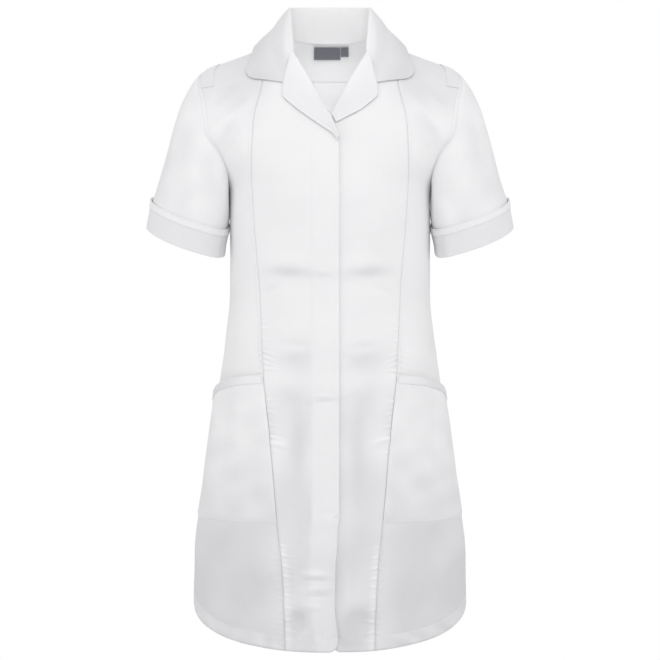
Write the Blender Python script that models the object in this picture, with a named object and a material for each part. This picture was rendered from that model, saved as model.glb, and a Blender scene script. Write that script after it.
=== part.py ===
"""Maternity tunic, worn shape with nobody in it: each cut and sewn piece is its own thin wall.

Metres, +Z up. The front faces -Y and the wearer's left is at +X. The origin is on the middle plane,
level with the point where the shoulder seam meets the collar. Heights are given as a drop below it.
A side of +1 is the wearer's left and -1 the wearer's right.
"""

import math

import bmesh
import bpy
import numpy as np

# Cloth walls and the room between pieces
CLOTH = 0.0015
DOUBLE_CLOTH = 0.0018
TRIM = 0.0012
SEAM_GAP = 0.0004
LAY_GAP = 0.0005

# The body of the tunic: one row for each level round the figure
BODY = np.array([
    # drop, half width, front depth, back depth
    (0.000, 0.0580, 0.0300, 0.0620),
    (0.026, 0.1240, 0.0460, 0.0780),
    (0.052, 0.1900, 0.0580, 0.0880),
    (0.075, 0.2180, 0.0665, 0.0960),
    (0.100, 0.2330, 0.0755, 0.1020),
    (0.120, 0.2405, 0.0830, 0.1050),
    (0.1385, 0.2410, 0.0900, 0.1070),
    (0.155, 0.2300, 0.0960, 0.1080),
    (0.175, 0.2010, 0.1030, 0.1080),
    (0.195, 0.1765, 0.1090, 0.1070),
    (0.210, 0.1610, 0.1130, 0.1065),
    (0.225, 0.1520, 0.1165, 0.1055),
    (0.245, 0.1495, 0.1205, 0.1040),
    (0.320, 0.1492, 0.1235, 0.0960),
    (0.393, 0.1497, 0.1275, 0.0900),
    (0.441, 0.1547, 0.1360, 0.0930),
    (0.489, 0.1608, 0.1430, 0.1000),
    (0.540, 0.1690, 0.1475, 0.1080),
    (0.573, 0.1750, 0.1490, 0.1130),
    (0.621, 0.1825, 0.1500, 0.1180),
    (0.669, 0.1893, 0.1495, 0.1210),
    (0.7175, 0.1970, 0.1485, 0.1230),
    (0.766, 0.2022, 0.1465, 0.1240),
    (0.850, 0.2035, 0.1440, 0.1250),
    (0.940, 0.2060, 0.1420, 0.1260),
])

# Shoulder seam: how far it falls to its tip, its share of the back's top edge, and the room along it
SHOULDER_TIP_DROP = 0.052
SHOULDER_SHARE = 0.45
SHOULDER_GAP_ANGLE = 0.0037
SHOULDER_GAP_DROP = 0.0001

# Armhole: an oval as seen from the side
ARMHOLE_MIDDLE_DROP = 0.1385
ARMHOLE_HALF_HEIGHT = 0.0865
ARMHOLE_BITE = 0.64
UNDERARM_DROP = ARMHOLE_MIDDLE_DROP + ARMHOLE_HALF_HEIGHT

# Princess seam on the front, as a distance from the centre line
PRINCESS = np.array([
    # drop, distance out
    (0.0144, 0.0950),
    (0.076, 0.1000),
    (0.130, 0.1125),
    (0.204, 0.1150),
    (0.285, 0.1110),
    (0.350, 0.1045),
    (0.438, 0.0995),
    (0.500, 0.0965),
    (0.597, 0.0865),
    (0.7185, 0.0760),
    (0.790, 0.0685),
    (0.940, 0.0630),
])

# Front edges: the roll line of each revers down to its break, then the straight front edge
TOP_FRONT_EDGE = -0.0132
UNDER_FRONT_EDGE = 0.0025
ROLL_LINE = np.array([
    # drop, distance out
    (0.000, 0.0580),
    (0.023, 0.0575),
    (0.0425, 0.0487),
    (0.063, 0.0368),
    (0.0905, 0.0220),
    (0.113, 0.0102),
    (0.128, 0.0010),
    (0.146, -0.0070),
    (0.163, -0.0125),
    (0.180, TOP_FRONT_EDGE),
    (0.712, TOP_FRONT_EDGE),
    (0.752, -0.0104),
    (0.775, -0.0082),
    (0.850, -0.0072),
    (0.885, -0.0108),
    (0.940, -0.0128),
])

# The under front lies this far below the top front where they overlap, and comes level past LEVEL_AT.
# It begins to sink below the revers' roll.
UNDERLAP_SINK = 0.0044
UNDERLAP_FROM = 0.014
LEVEL_AT = 0.055
SINK_STARTS_DROP = 0.085
SINK_FULL_DROP = 0.120

# Hem: it rises towards the sides, with rounded corners at the vents
HEM_CENTRE = 0.9005
HEM_RISE = 0.0575
HEM_CURVE = 1.2
HEM_BEND_FROM = 0.700
VENT_TOP = 0.765
VENT_OPENING = 0.0016
VENT_CORNER = 0.012
FRONT_CORNER = 0.014

# Largest folds, as soft ridges and troughs on the front and back, from below the underarms down
FOLDS_START_DROP = 0.24
FOLDS_FULL_DROP = 0.32
FOLDS = np.array([
    # side of centre (m), drop (m), half length (m), half width (m), lean (degrees), height (m)
    (-0.050, 0.345, 0.045, 0.0130, 4, 0.0028),
    (0.052, 0.345, 0.045, 0.0130, -4, 0.0028),
    (-0.052, 0.372, 0.042, 0.0120, -6, -0.0022),
    (0.054, 0.372, 0.042, 0.0120, 6, -0.0022),
    (-0.045, 0.520, 0.055, 0.0150, 5, 0.0024),
    (0.046, 0.518, 0.050, 0.0150, -5, 0.0024),
    (-0.045, 0.640, 0.0160, 0.120, 0, -0.0040),
    (0.045, 0.650, 0.0160, 0.120, 0, -0.0040),
    (-0.105, 0.800, 0.0200, 0.110, 0, -0.0040),
    (0.108, 0.800, 0.0200, 0.110, 0, -0.0040),
])
BACK_FOLDS = np.array([
    # side of centre (m), drop (m), half length (m), half width (m), lean (degrees), height (m)
    (-0.070, 0.420, 0.060, 0.0160, 12, -0.0035),
    (0.066, 0.432, 0.060, 0.0160, -10, -0.0035),
    (0.000, 0.380, 0.070, 0.0160, 0, 0.0025),
    (-0.080, 0.760, 0.0240, 0.130, 0, 0.0060),
    (0.084, 0.740, 0.0240, 0.130, 0, 0.0060),
    (0.004, 0.770, 0.0280, 0.120, 0, -0.0050),
])

# Grid of the panels
ARMHOLE_STEPS = 12
SKIRT_STEPS = 24
PANEL_COLUMNS = 7
PANEL_CROWDING = 1.15
BACK_HALF_COLUMNS = 10

# Sleeve: from the armhole to the ring at the cuff's upper edge, then straight on inside the cuff
SLEEVE_COLUMNS = 24
SLEEVE_STEPS = 10
SLEEVE_LEAVE_TOP = np.array((0.74, 0.0, -0.67))
SLEEVE_LEAVE_MIDDLE = np.array((0.78, 0.0, -0.62))
SLEEVE_LEAVE_BOTTOM = np.array((0.22, 0.0, -0.97))
SLEEVE_SPREAD = 0.16
SLEEVE_PULL_START = 0.80
SLEEVE_PULL_END = 1.05
ARMHOLE_CLEARANCE = 0.0007
UNDERARM_CLEARANCE = 0.0022
UNDERARM_STARTS = 0.55
UNDERARM_FULL = 0.95

# Cuff: its upper ring's centre and size, how its ring tilts across and to the front, and how it hangs
CUFF_STEPS = 3
CUFF_CENTRE = np.array((0.2104, 0.0, -0.2620))
CUFF_HALF_WIDTH = 0.0578
CUFF_HALF_DEPTH = 0.0560
CUFF_TILT = math.radians(19)
CUFF_LEAN = math.radians(8)
CUFF_FRONT_DIP = math.radians(14)
CUFF_HEIGHT = 0.0412
CUFF_FLARE = 0.0018
CUFF_TURN_BELOW = 0.0010
CUFF_TRIM_HEIGHT = 0.009
CUFF_TRIM_ABOVE = 0.0006

# Hip pocket
POCKET_MOUTH_DROP = 0.5047
POCKET_MOUTH_FALL = 0.0325
POCKET_MOUTH_CURVE = 1.7
POCKET_BOTTOM_DROP = 0.716
POCKET_STEPS = 8
POCKET_CROWDING = 1.3
POCKET_MOUTH_GAPE = 0.0085
POCKET_SIDE_GAPE = 0.0022
POCKET_BELLY = 0.0012
POCKET_TRIM_HEIGHT = 0.0115
POCKET_TRIM_ABOVE = 0.0008

# Shoulder loop beside the armhole, as rows and columns of the side front's and the back's grids
LOOP_ROWS = (0, 1, 2, 3, 3.2)
LOOP_FRONT_COLUMNS = (4.5, 5.4, 6.3)
LOOP_BACK_COLUMNS = (0.95, 0.60, 0.25)
LOOP_RISE = 0.0012

# Back neck facing, label and size tab
FACING_ROWS = 3
LABEL_WIDTH = 0.042
LABEL_HEIGHT = 0.018
LABEL_CENTRE = -0.0045
LABEL_DROP = 0.0040
TAB_WIDTH = 0.0125
TAB_HEIGHT = 0.0135
LABEL_CLOTH = 0.0010
LABEL_CLEARANCE = 0.0012

# Fly facing, as a number of the top front's columns, and the zip behind it
FLY_COLUMNS = 3
FLY_TOP_DROP = 0.186
ZIP_TOP_DROP = 0.170
ZIP_BOTTOM_DROP = 0.705
ZIP_TAPE = 0.0008
ZIP_TAPE_HALF_WIDTH = 0.0115
ZIP_MIDDLE = -0.0010
ZIP_CHAIN_HALF_WIDTH = 0.0024
ZIP_CHAIN_HEIGHT = 0.0020
ZIP_CLEARANCE = 0.0018
ZIP_ROWS = 20
ZIP_CHAIN_GAP = 0.0004
ZIP_CHAIN_BELOW_TOP = 0.012
ZIP_SLIDER_WIDTH = 0.0060
ZIP_SLIDER_HEIGHT = 0.0090
ZIP_SLIDER_THICKNESS = 0.0026

# Collar: one row for each station from the gorge, over the shoulder, to the centre back. Each has the
# neck seam, the fold, the middle of the fall and its outer edge.
COLLAR = np.array([
    # place, seam x, y, z, fold x, y, z, middle x, y, z, edge x, y, z
    (0.00, 0.0546, -0.0385, -0.0245, 0.0555, -0.0440, -0.0240,
     0.0690, -0.0640, -0.0735, 0.1130, -0.0580, -0.0672),
    (0.07, 0.0545, -0.0335, -0.0165, 0.0562, -0.0405, -0.0125,
     0.0745, -0.0590, -0.0590, 0.1200, -0.0548, -0.0640),
    (0.14, 0.0545, -0.0280, -0.0100, 0.0575, -0.0345, 0.0010,
     0.0800, -0.0520, -0.0460, 0.1245, -0.0505, -0.0560),
    (0.26, 0.0550, -0.0160, -0.0020, 0.0592, -0.0200, 0.0250,
     0.0860, -0.0360, -0.0150, 0.1190, -0.0360, -0.0365),
    (0.42, 0.0560, 0.0020, 0.0010, 0.0608, 0.0030, 0.0450,
     0.0850, -0.0010, 0.0150, 0.1105, -0.0020, -0.0118),
    (0.60, 0.0500, 0.0280, 0.0010, 0.0550, 0.0330, 0.0500,
     0.0730, 0.0470, 0.0140, 0.0930, 0.0580, -0.0170),
    (0.80, 0.0290, 0.0500, 0.0010, 0.0320, 0.0560, 0.0538,
     0.0410, 0.0730, 0.0130, 0.0500, 0.0860, -0.0230),
    (1.00, 0.0000, 0.0585, 0.0010, 0.0000, 0.0650, 0.0552,
     0.0000, 0.0810, 0.0130, 0.0000, 0.0910, -0.0260),
])
COLLAR_HALF_COLUMNS = 15
COLLAR_CROWDING = 1.25
COLLAR_WALL = 0.0020
# The collar's clearance over the body counts where the body faces the front or back more than this
COLLAR_CLEARANCE = 0.0028
LEAST_FACING = 0.3
STEEPEST_FACING = 0.5
# The collar's roll at its fold: how far the cloth inside and outside it lies to each side and below
COLLAR_ROLL_INSIDE = (0.0022, 0.0030)
COLLAR_ROLL_OUTSIDE = (0.0034, 0.0034)
COLLAR_FULLNESS = 0.0010

# Revers: one row for each station from the gorge to the break, outer edge as distance out and drop
REVERS_TOP = np.array([
    # place, roll drop, edge out, edge drop
    (0.00, 0.0330, 0.0690, 0.0770),
    (0.12, 0.0400, 0.0695, 0.0860),
    (0.22, 0.0530, 0.0690, 0.0955),
    (0.30, 0.0640, 0.0600, 0.1050),
    (0.48, 0.0905, 0.0381, 0.1231),
    (0.72, 0.1210, 0.0132, 0.1410),
    (0.90, 0.1460, -0.0045, 0.1540),
    (1.00, 0.1590, -0.0100, 0.1640),
])
REVERS_UNDER = np.array([
    # place, roll drop, edge out, edge drop
    (0.00, 0.0330, 0.0690, 0.0770),
    (0.12, 0.0400, 0.0695, 0.0860),
    (0.22, 0.0530, 0.0690, 0.0950),
    (0.30, 0.0640, 0.0610, 0.1030),
    (0.48, 0.0880, 0.0440, 0.1165),
    (0.72, 0.1090, 0.0260, 0.1250),
    (1.00, 0.1240, 0.0085, 0.1340),
])
REVERS_COLUMNS = 12
# Across a revers from its roll: how far along, as a share of its width, and how high it stands
REVERS_SECTION = np.array([
    # step out from the roll (m), share of the width, height (m)
    (-0.0028, 0.00, 0.0006),
    (-0.0030, 0.00, 0.0028),
    (0.0010, 0.00, 0.0042),
    (0.0000, 0.35, 0.0044),
    (0.0000, 0.70, 0.0036),
    (0.0000, 1.00, 0.0030),
])


def smooth(x, table, column):
    """A table's column at x, along the monotone cubic curve through its rows."""
    xs = table[:, 0]
    ys = table[:, column]
    step = np.diff(xs)
    slope = np.diff(ys) / step
    before, after = slope[:-1], slope[1:]
    same_way = before * after > 0
    safe_before = np.where(same_way, before, 1.0)
    safe_after = np.where(same_way, after, 1.0)
    weight_before = 2 * step[1:] + step[:-1]
    weight_after = step[1:] + 2 * step[:-1]
    inner = (weight_before + weight_after) / (weight_before / safe_before + weight_after / safe_after)
    tangent = np.concatenate([slope[:1], np.where(same_way, inner, 0.0), slope[-1:]])
    x = np.clip(np.asarray(x, float), xs[0], xs[-1])
    i = np.clip(np.searchsorted(xs, x, side="right") - 1, 0, len(step) - 1)
    t = (x - xs[i]) / step[i]
    start = (1 + 2 * t) * (1 - t) ** 2 * ys[i] + t * (1 - t) ** 2 * step[i] * tangent[i]
    end = t * t * (3 - 2 * t) * ys[i + 1] + t * t * (t - 1) * step[i] * tangent[i + 1]
    return start + end


def ease(x, start, end):
    """0 before start, 1 after end, and a smooth rise between."""
    t = np.clip((np.asarray(x, float) - start) / (end - start), 0.0, 1.0)
    return t * t * (3 - 2 * t)


def on_figure(angle, drop):
    """The point of the figure at an angle from the centre front and a drop below the neck point.

    Each level is a front half ellipse and a back half ellipse that share the half width."""
    half_width = smooth(drop, BODY, 1)
    front = smooth(drop, BODY, 2)
    back = smooth(drop, BODY, 3)
    depth = np.where(np.cos(angle) >= 0, front, back)
    return np.stack([half_width * np.sin(angle), -depth * np.cos(angle), -drop], axis=-1)


def outward(angle, drop):
    """The unit vector that points out of the figure at that place."""
    step = 1e-5
    round_it = on_figure(angle + step, drop) - on_figure(angle - step, drop)
    down_it = on_figure(angle, drop + step) - on_figure(angle, drop)
    normal = np.cross(down_it, round_it)
    return normal / np.linalg.norm(normal, axis=-1, keepdims=True)


def fold_height(place, side):
    """The height of the large folds at points of the front or back: a sum of soft oval bumps."""
    x = place[..., 0] * side
    drop = -place[..., 2]
    height = np.zeros_like(x)
    for folds, wanted in ((FOLDS, place[..., 1] < 0), (BACK_FOLDS, place[..., 1] >= 0)):
        for across, level, half_length, half_width, lean, rise in folds:
            turn = math.radians(lean)
            along = (x - across) * math.cos(turn) + (drop - level) * math.sin(turn)
            aside = (drop - level) * math.cos(turn) - (x - across) * math.sin(turn)
            bump = rise * np.exp(-((along / half_length) ** 2) - (aside / half_width) ** 2)
            height += np.where(wanted, bump, 0.0)
    return height * ease(drop, FOLDS_START_DROP, FOLDS_FULL_DROP)


def cloth_points(angle, drop, lift, side):
    """Points on the tunic's body, moved out by lift, on one side of the middle."""
    angle, drop, lift = np.broadcast_arrays(angle, drop, lift)
    place = on_figure(angle, drop)
    raised = np.asarray(lift + fold_height(place, side))[..., None]
    points = place + outward(angle, drop) * raised
    return points * np.array((side, 1.0, 1.0))


def cloth_sides(angle, drop, lift, thickness, side):
    """The outer and the inner points of a wall whose middle is at lift."""
    outer = cloth_points(angle, drop, lift + thickness / 2, side)
    inner = cloth_points(angle, drop, lift - thickness / 2, side)
    return outer, inner


def angle_at(out, drop):
    """The angle round the front at a distance out from the centre line."""
    return np.arcsin(np.clip(out / smooth(drop, BODY, 1), -1.0, 1.0))


def arc_rate(angle, drop):
    """Metres along the cloth for each radian of angle."""
    step = 1e-4
    return np.linalg.norm(on_figure(angle + step, drop) - on_figure(angle - step, drop), axis=-1) / (2 * step)


def plain_material(name, colour, roughness):
    """A plain Principled material for cloth or plastic."""
    material = bpy.data.materials.new(name)
    material.use_nodes = True
    shader = material.node_tree.nodes["Principled BSDF"]
    shader.inputs["Base Color"].default_value = (*colour, 1.0)
    shader.inputs["Roughness"].default_value = roughness
    material.diffuse_color = (*colour, 1.0)
    return material


def add_wall(name, outer, inner, material, round_tube=False):
    """One closed piece from two grids of points: outer face, inner face and the rims between them."""
    rows, columns = outer.shape[:2]
    index = np.arange(rows * columns).reshape(rows, columns)
    if round_tube:
        index = np.concatenate([index, index[:, :1]], axis=1)
    other = index + rows * columns
    corner, below, across, beside = index[:-1, :-1], index[1:, :-1], index[1:, 1:], index[:-1, 1:]
    skin = np.stack([corner, below, across, corner, across, beside], axis=-1).reshape(-1, 3)
    lining = skin[:, ::-1] + rows * columns
    rims = [
        np.stack([index[0, 1:], other[0, 1:], other[0, :-1], index[0, :-1]], axis=-1),
        np.stack([index[-1, :-1], other[-1, :-1], other[-1, 1:], index[-1, 1:]], axis=-1),
    ]
    if not round_tube:
        rims.append(np.stack([index[:-1, 0], other[:-1, 0], other[1:, 0], index[1:, 0]], axis=-1))
        rims.append(np.stack([index[1:, -1], other[1:, -1], other[:-1, -1], index[:-1, -1]], axis=-1))
    points = np.concatenate([outer.reshape(-1, 3), inner.reshape(-1, 3)])
    faces = skin.tolist() + lining.tolist() + np.concatenate(rims).tolist()
    mesh = bpy.data.meshes.new(name)
    mesh.from_pydata(points.tolist(), [], faces)
    shape = bmesh.new()
    shape.from_mesh(mesh)
    bmesh.ops.recalc_face_normals(shape, faces=shape.faces)
    shape.to_mesh(mesh)
    shape.free()
    mesh.shade_smooth()
    mesh.set_sharp_from_angle(angle=math.radians(50))
    mesh.materials.append(material)
    piece = bpy.data.objects.new(name, mesh)
    collection.objects.link(piece)
    piece.parent = origin
    return piece


def armhole_angle(turn):
    """The angle of the armhole's edge, for a turn of 0 at the shoulder, 180 degrees at the underarm."""
    return np.arccos(ARMHOLE_BITE * np.abs(np.sin(turn)))


def panel_rows():
    """The drops of a panel's rows at the side, at the princess seam and at the front edge."""
    k = np.arange(ARMHOLE_STEPS + 1) / ARMHOLE_STEPS
    turn = math.pi * k
    side = ARMHOLE_MIDDLE_DROP - ARMHOLE_HALF_HEIGHT * np.cos(turn)
    princess = PRINCESS[0, 0] + (UNDERARM_DROP - PRINCESS[0, 0]) * k
    front = UNDERARM_DROP * k
    skirt = np.linspace(UNDERARM_DROP, HEM_CENTRE, SKIRT_STEPS + 1)[1:]
    join = [np.concatenate([part, skirt]) for part in (side, princess, front)]
    return turn, *join


def hem_drop(angle, edge_distance, corner):
    """The hem at an angle, with a rounded corner at an edge that lies edge_distance away."""
    level = HEM_CENTRE - HEM_RISE * (1 - np.abs(np.cos(angle))) ** HEM_CURVE
    inside = np.clip(corner - edge_distance, 0.0, corner)
    return level - (corner - np.sqrt(corner**2 - inside**2))


def bend_to_hem(angle, drop, edge_distance, corner):
    """Lower rows drawn smoothly onto the curved hem."""
    share = ease(drop, HEM_BEND_FROM, HEM_CENTRE)
    return drop + share * (hem_drop(angle, edge_distance, corner) - HEM_CENTRE)


def front_edge(drop, top):
    """Distance out of the top or the under front's edge, negative where it passes the centre line."""
    roll = smooth(drop, ROLL_LINE, 1)
    if top:
        return roll
    return np.maximum(roll, UNDER_FRONT_EDGE)


def front_lift(angle, drop, top):
    """How far the front is moved out: the under front sinks below the top one near the centre."""
    if top:
        return np.zeros_like(drop)
    out = smooth(drop, BODY, 1) * np.sin(angle)
    below_roll = ease(drop, SINK_STARTS_DROP, SINK_FULL_DROP)
    return -UNDERLAP_SINK * (1 - ease(out, UNDERLAP_FROM, LEVEL_AT)) * below_roll


def front_centre_grid(top):
    """Angles and drops of a centre front, from the princess seam to the front edge."""
    _, _, princess_drop, front_drop = panel_rows()
    princess = angle_at(smooth(princess_drop, PRINCESS, 1), princess_drop)
    princess[0] = math.pi / 2
    princess = princess - SEAM_GAP / 2 / arc_rate(princess, princess_drop)
    princess_drop[0] -= SHOULDER_GAP_DROP
    edge = angle_at(front_edge(front_drop, top), front_drop)
    edge[0] = math.pi / 2 - SHOULDER_GAP_ANGLE
    share = np.linspace(0.0, 1.0, PANEL_COLUMNS + 1)[None, :]
    angle = princess[:, None] * (1 - share) + edge[:, None] * share
    drop = princess_drop[:, None] * (1 - share) + front_drop[:, None] * share
    angle[0] = math.pi / 2 - SHOULDER_GAP_ANGLE
    edge_distance = (angle - edge[:, None]) * arc_rate(angle, drop)
    return angle, bend_to_hem(angle, drop, edge_distance, FRONT_CORNER)


def side_edge_angle(turn, drop):
    """The side of a side front: the armhole's edge, then the side seam, which opens into the vent."""
    armhole = armhole_angle(turn)
    seam = np.full(len(drop) - len(turn), math.pi / 2)
    angle = np.concatenate([armhole, seam])
    gap = SEAM_GAP / 2 + VENT_OPENING * np.clip((drop - VENT_TOP) / (HEM_CENTRE - VENT_TOP), 0.0, 1.0)
    return angle - gap / arc_rate(angle, drop)


def crowded_shares():
    """Shares from 0 at the princess seam to 1 at the side, closer together towards the side."""
    share = np.linspace(0.0, 1.0, PANEL_COLUMNS + 1)[None, :]
    return 1 - (1 - share) ** PANEL_CROWDING


def front_side_grid():
    """Angles and drops of a side front, from the princess seam to the armhole and side seam."""
    turn, side_drop, princess_drop, _ = panel_rows()
    princess = angle_at(smooth(princess_drop, PRINCESS, 1), princess_drop)
    princess[0] = math.pi / 2
    princess = princess + SEAM_GAP / 2 / arc_rate(princess, princess_drop)
    princess_drop[0] += SHOULDER_GAP_DROP
    side = side_edge_angle(turn, side_drop)
    share = crowded_shares()
    angle = princess[:, None] * (1 - share) + side[:, None] * share
    drop = princess_drop[:, None] * (1 - share) + side_drop[:, None] * share
    angle[0] = math.pi / 2 - SHOULDER_GAP_ANGLE
    edge_distance = (math.pi / 2 - angle) * arc_rate(angle, drop)
    return angle, bend_to_hem(angle, drop, edge_distance, VENT_CORNER)


def back_grid():
    """Angles and drops of half the back, from the armhole and side seam to the centre back."""
    turn, side_drop, _, _ = panel_rows()
    side = math.pi - side_edge_angle(turn, side_drop)
    k = np.arange(ARMHOLE_STEPS + 1) / ARMHOLE_STEPS
    centre_drop = np.concatenate([UNDERARM_DROP * k, side_drop[len(k):]])
    share = np.linspace(0.0, 1.0, BACK_HALF_COLUMNS + 1)[None, :]
    angle = side[:, None] * (1 - share) + math.pi * share
    drop = side_drop[:, None] * (1 - share) + centre_drop[:, None] * share
    top_angle = math.pi / 2 + SHOULDER_GAP_ANGLE
    neck_share = np.clip((share - SHOULDER_SHARE) / (1 - SHOULDER_SHARE), 0, 1)
    top_angle = top_angle + (math.pi - top_angle) * neck_share
    top_drop = SHOULDER_TIP_DROP * (1 - np.clip(share / SHOULDER_SHARE, 0, 1))
    fade = np.concatenate([(1 - k) ** 3, np.zeros(len(side_drop) - len(k))])[:, None]
    angle = angle + fade * (top_angle - angle[:1])
    drop = drop + fade * (top_drop - drop[:1])
    edge_distance = (angle - math.pi / 2) * arc_rate(angle, drop)
    return angle, bend_to_hem(angle, drop, edge_distance, VENT_CORNER)


def make_fronts(cloth):
    """The two centre fronts, which close right over left, and the two side fronts."""
    for side, name in ((-1, "right"), (1, "left")):
        top = side < 0
        angle, drop = front_centre_grid(top)
        lift = front_lift(angle, drop, top)
        outer, inner = cloth_sides(angle, drop, lift, CLOTH, side)
        add_wall("front_centre_" + name, outer, inner, cloth)
        angle, drop = front_side_grid()
        outer, inner = cloth_sides(angle, drop, 0.0, CLOTH, side)
        add_wall("front_side_" + name, outer, inner, cloth)


def both_halves(right_half, left_half):
    """One grid across the centre back, from the wearer's right to the left."""
    return np.concatenate([right_half, left_half[:, -2::-1]], axis=1)


def make_back(cloth):
    """The back, in one piece from side seam to side seam."""
    angle, drop = back_grid()
    halves = [cloth_sides(angle, drop, 0.0, CLOTH, side) for side in (-1, 1)]
    outer = both_halves(halves[0][0], halves[1][0])
    inner = both_halves(halves[0][1], halves[1][1])
    add_wall("back", outer, inner, cloth)


def make_back_neck_facing(cloth):
    """The facing inside the back neck, which shows through the neck opening: the back's own points."""
    angle, drop = back_grid()
    first = BACK_HALF_COLUMNS // 2
    angle = angle[:FACING_ROWS + 1, first:]
    drop = drop[:FACING_ROWS + 1, first:]
    lift = -(CLOTH / 2 + LAY_GAP + TRIM / 2)
    halves = [cloth_sides(angle, drop, lift, TRIM, side) for side in (-1, 1)]
    outer = both_halves(halves[0][0], halves[1][0])
    inner = both_halves(halves[0][1], halves[1][1])
    add_wall("back_neck_facing", outer, inner, cloth)


def label_wall(name, centre, width, height, material):
    """A woven label that hangs inside the centre back from the neck seam."""
    out = centre + width * (np.linspace(0.0, 1.0, 5)[None, :] - 0.5)
    drop = LABEL_DROP + height * np.linspace(0.0, 1.0, 3)[:, None]
    out, drop = np.broadcast_arrays(out, drop)
    angle = math.pi - np.arcsin(out / smooth(drop, BODY, 1))
    lift = -(CLOTH / 2 + LAY_GAP + TRIM + LABEL_CLEARANCE + LABEL_CLOTH / 2)
    outer, inner = cloth_sides(angle, drop, lift, LABEL_CLOTH, 1)
    add_wall(name, outer, inner, material)


def armhole_points(turn):
    """The armhole's edge on the wearer's left, front half first, with the direction out of the figure."""
    front_angle = armhole_angle(turn)
    angle = np.where(np.sin(turn) >= 0, front_angle, math.pi - front_angle)
    drop = ARMHOLE_MIDDLE_DROP - ARMHOLE_HALF_HEIGHT * np.cos(turn)
    return on_figure(angle, drop), outward(angle, drop)


def unit(vectors):
    """Vectors made one metre long."""
    return vectors / np.linalg.norm(vectors, axis=-1, keepdims=True)


def cuff_axes():
    """The cuff's direction from its inner to its outer side, the arm's direction and the way it hangs."""
    across = np.array((math.cos(CUFF_TILT), 0.0, math.sin(CUFF_TILT)))
    arm = np.array((math.sin(CUFF_TILT), 0.0, -math.cos(CUFF_TILT)))
    hang = np.array((math.sin(CUFF_LEAN), 0.0, -math.cos(CUFF_LEAN)))
    return across, arm, hang


def sleeve_ring(turn, down, offset):
    """A ring of the sleeve's lower end, down metres below the cuff's upper edge and offset out."""
    across, _, hang = cuff_axes()
    wide = CUFF_HALF_WIDTH + CUFF_FLARE * down / CUFF_HEIGHT + offset
    deep = CUFF_HALF_DEPTH + CUFF_FLARE * down / CUFF_HEIGHT + offset
    middle = CUFF_CENTRE + hang * down
    front = np.array((0.0, -math.cos(CUFF_FRONT_DIP), -math.sin(CUFF_FRONT_DIP)))
    return middle + across * (wide * np.cos(turn))[:, None] + front * (deep * np.sin(turn))[:, None]


def sleeve_surface(turn, steps):
    """The sleeve from the armhole to the cuff's upper edge.

    Each line of the sleeve is a cubic curve that leaves the armhole outwards and downwards and
    arrives at the cuff's ring along the arm."""
    start, out = armhole_points(turn)
    low = (1 - np.cos(turn)) / 2
    underarm = ease(low, UNDERARM_STARTS, UNDERARM_FULL)[:, None]
    leave = SLEEVE_LEAVE_TOP + (SLEEVE_LEAVE_MIDDLE - SLEEVE_LEAVE_TOP) * np.abs(np.sin(turn))[:, None]
    leave = leave * (1 - underarm) + SLEEVE_LEAVE_BOTTOM * underarm
    leave[:, 1] -= SLEEVE_SPREAD * np.sin(turn)
    leave = unit(leave)
    start = start + leave * ARMHOLE_CLEARANCE * (1 - underarm) + out * UNDERARM_CLEARANCE * underarm
    end = sleeve_ring(turn, 0.0, 0.0)
    _, arm, _ = cuff_axes()
    span = np.linalg.norm(end - start, axis=-1, keepdims=True)
    first = leave * span * SLEEVE_PULL_START
    last = arm * span * SLEEVE_PULL_END
    t = np.linspace(0.0, 1.0, steps + 1)[:, None, None]
    rows = ((1 + 2 * t) * (1 - t) ** 2 * start + t * (1 - t) ** 2 * first
            + t * t * (3 - 2 * t) * end + t * t * (t - 1) * last)
    return rows


def tube_normals(rows):
    """The outward direction at each point of a closed tube of rings."""
    round_it = np.roll(rows, -1, axis=1) - np.roll(rows, 1, axis=1)
    down_it = np.gradient(rows, axis=0)
    return unit(np.cross(round_it, down_it))


def mirrored(points, side):
    """Points of the wearer's left, or their mirror image for the right."""
    return points * np.array((side, 1.0, 1.0))


def make_sleeves(cloth, trim):
    """Short set-in sleeves with turned-up cuffs, and a narrow band along each cuff's upper edge."""
    turn = 2 * math.pi * np.arange(SLEEVE_COLUMNS) / SLEEVE_COLUMNS
    upper = sleeve_surface(turn, SLEEVE_STEPS)
    cuff_downs = CUFF_HEIGHT * np.arange(1, CUFF_STEPS + 1) / CUFF_STEPS
    lower = np.stack([sleeve_ring(turn, down, 0.0) for down in cuff_downs])
    rows = np.concatenate([upper, lower])
    normal = tube_normals(rows)
    for side, name in ((-1, "right"), (1, "left")):
        outer = mirrored(rows + normal * CLOTH / 2, side)
        inner = mirrored(rows - normal * CLOTH / 2, side)
        add_wall("sleeve_" + name, outer, inner, cloth, round_tube=True)
        middle = CLOTH / 2 + LAY_GAP + DOUBLE_CLOTH / 2
        downs = np.linspace(0.0, CUFF_HEIGHT + CUFF_TURN_BELOW, CUFF_STEPS + 1)
        make_band("cuff_" + name, turn, downs, middle, DOUBLE_CLOTH, side, cloth)
        middle = middle + DOUBLE_CLOTH / 2 + LAY_GAP + TRIM / 2
        make_band("cuff_trim_" + name, turn, (-CUFF_TRIM_ABOVE, CUFF_TRIM_HEIGHT), middle, TRIM, side, trim)


def make_band(name, turn, downs, middle, thickness, side, material):
    """A closed ring of cloth round the end of a sleeve."""
    outer = np.stack([sleeve_ring(turn, down, middle + thickness / 2) for down in downs])
    inner = np.stack([sleeve_ring(turn, down, middle - thickness / 2) for down in downs])
    add_wall(name, mirrored(outer, side), mirrored(inner, side), material, round_tube=True)


def pocket_mouth(share):
    """The drop of the pocket's mouth, which falls towards the side seam."""
    return POCKET_MOUTH_DROP + POCKET_MOUTH_FALL * share**POCKET_MOUTH_CURVE


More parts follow.
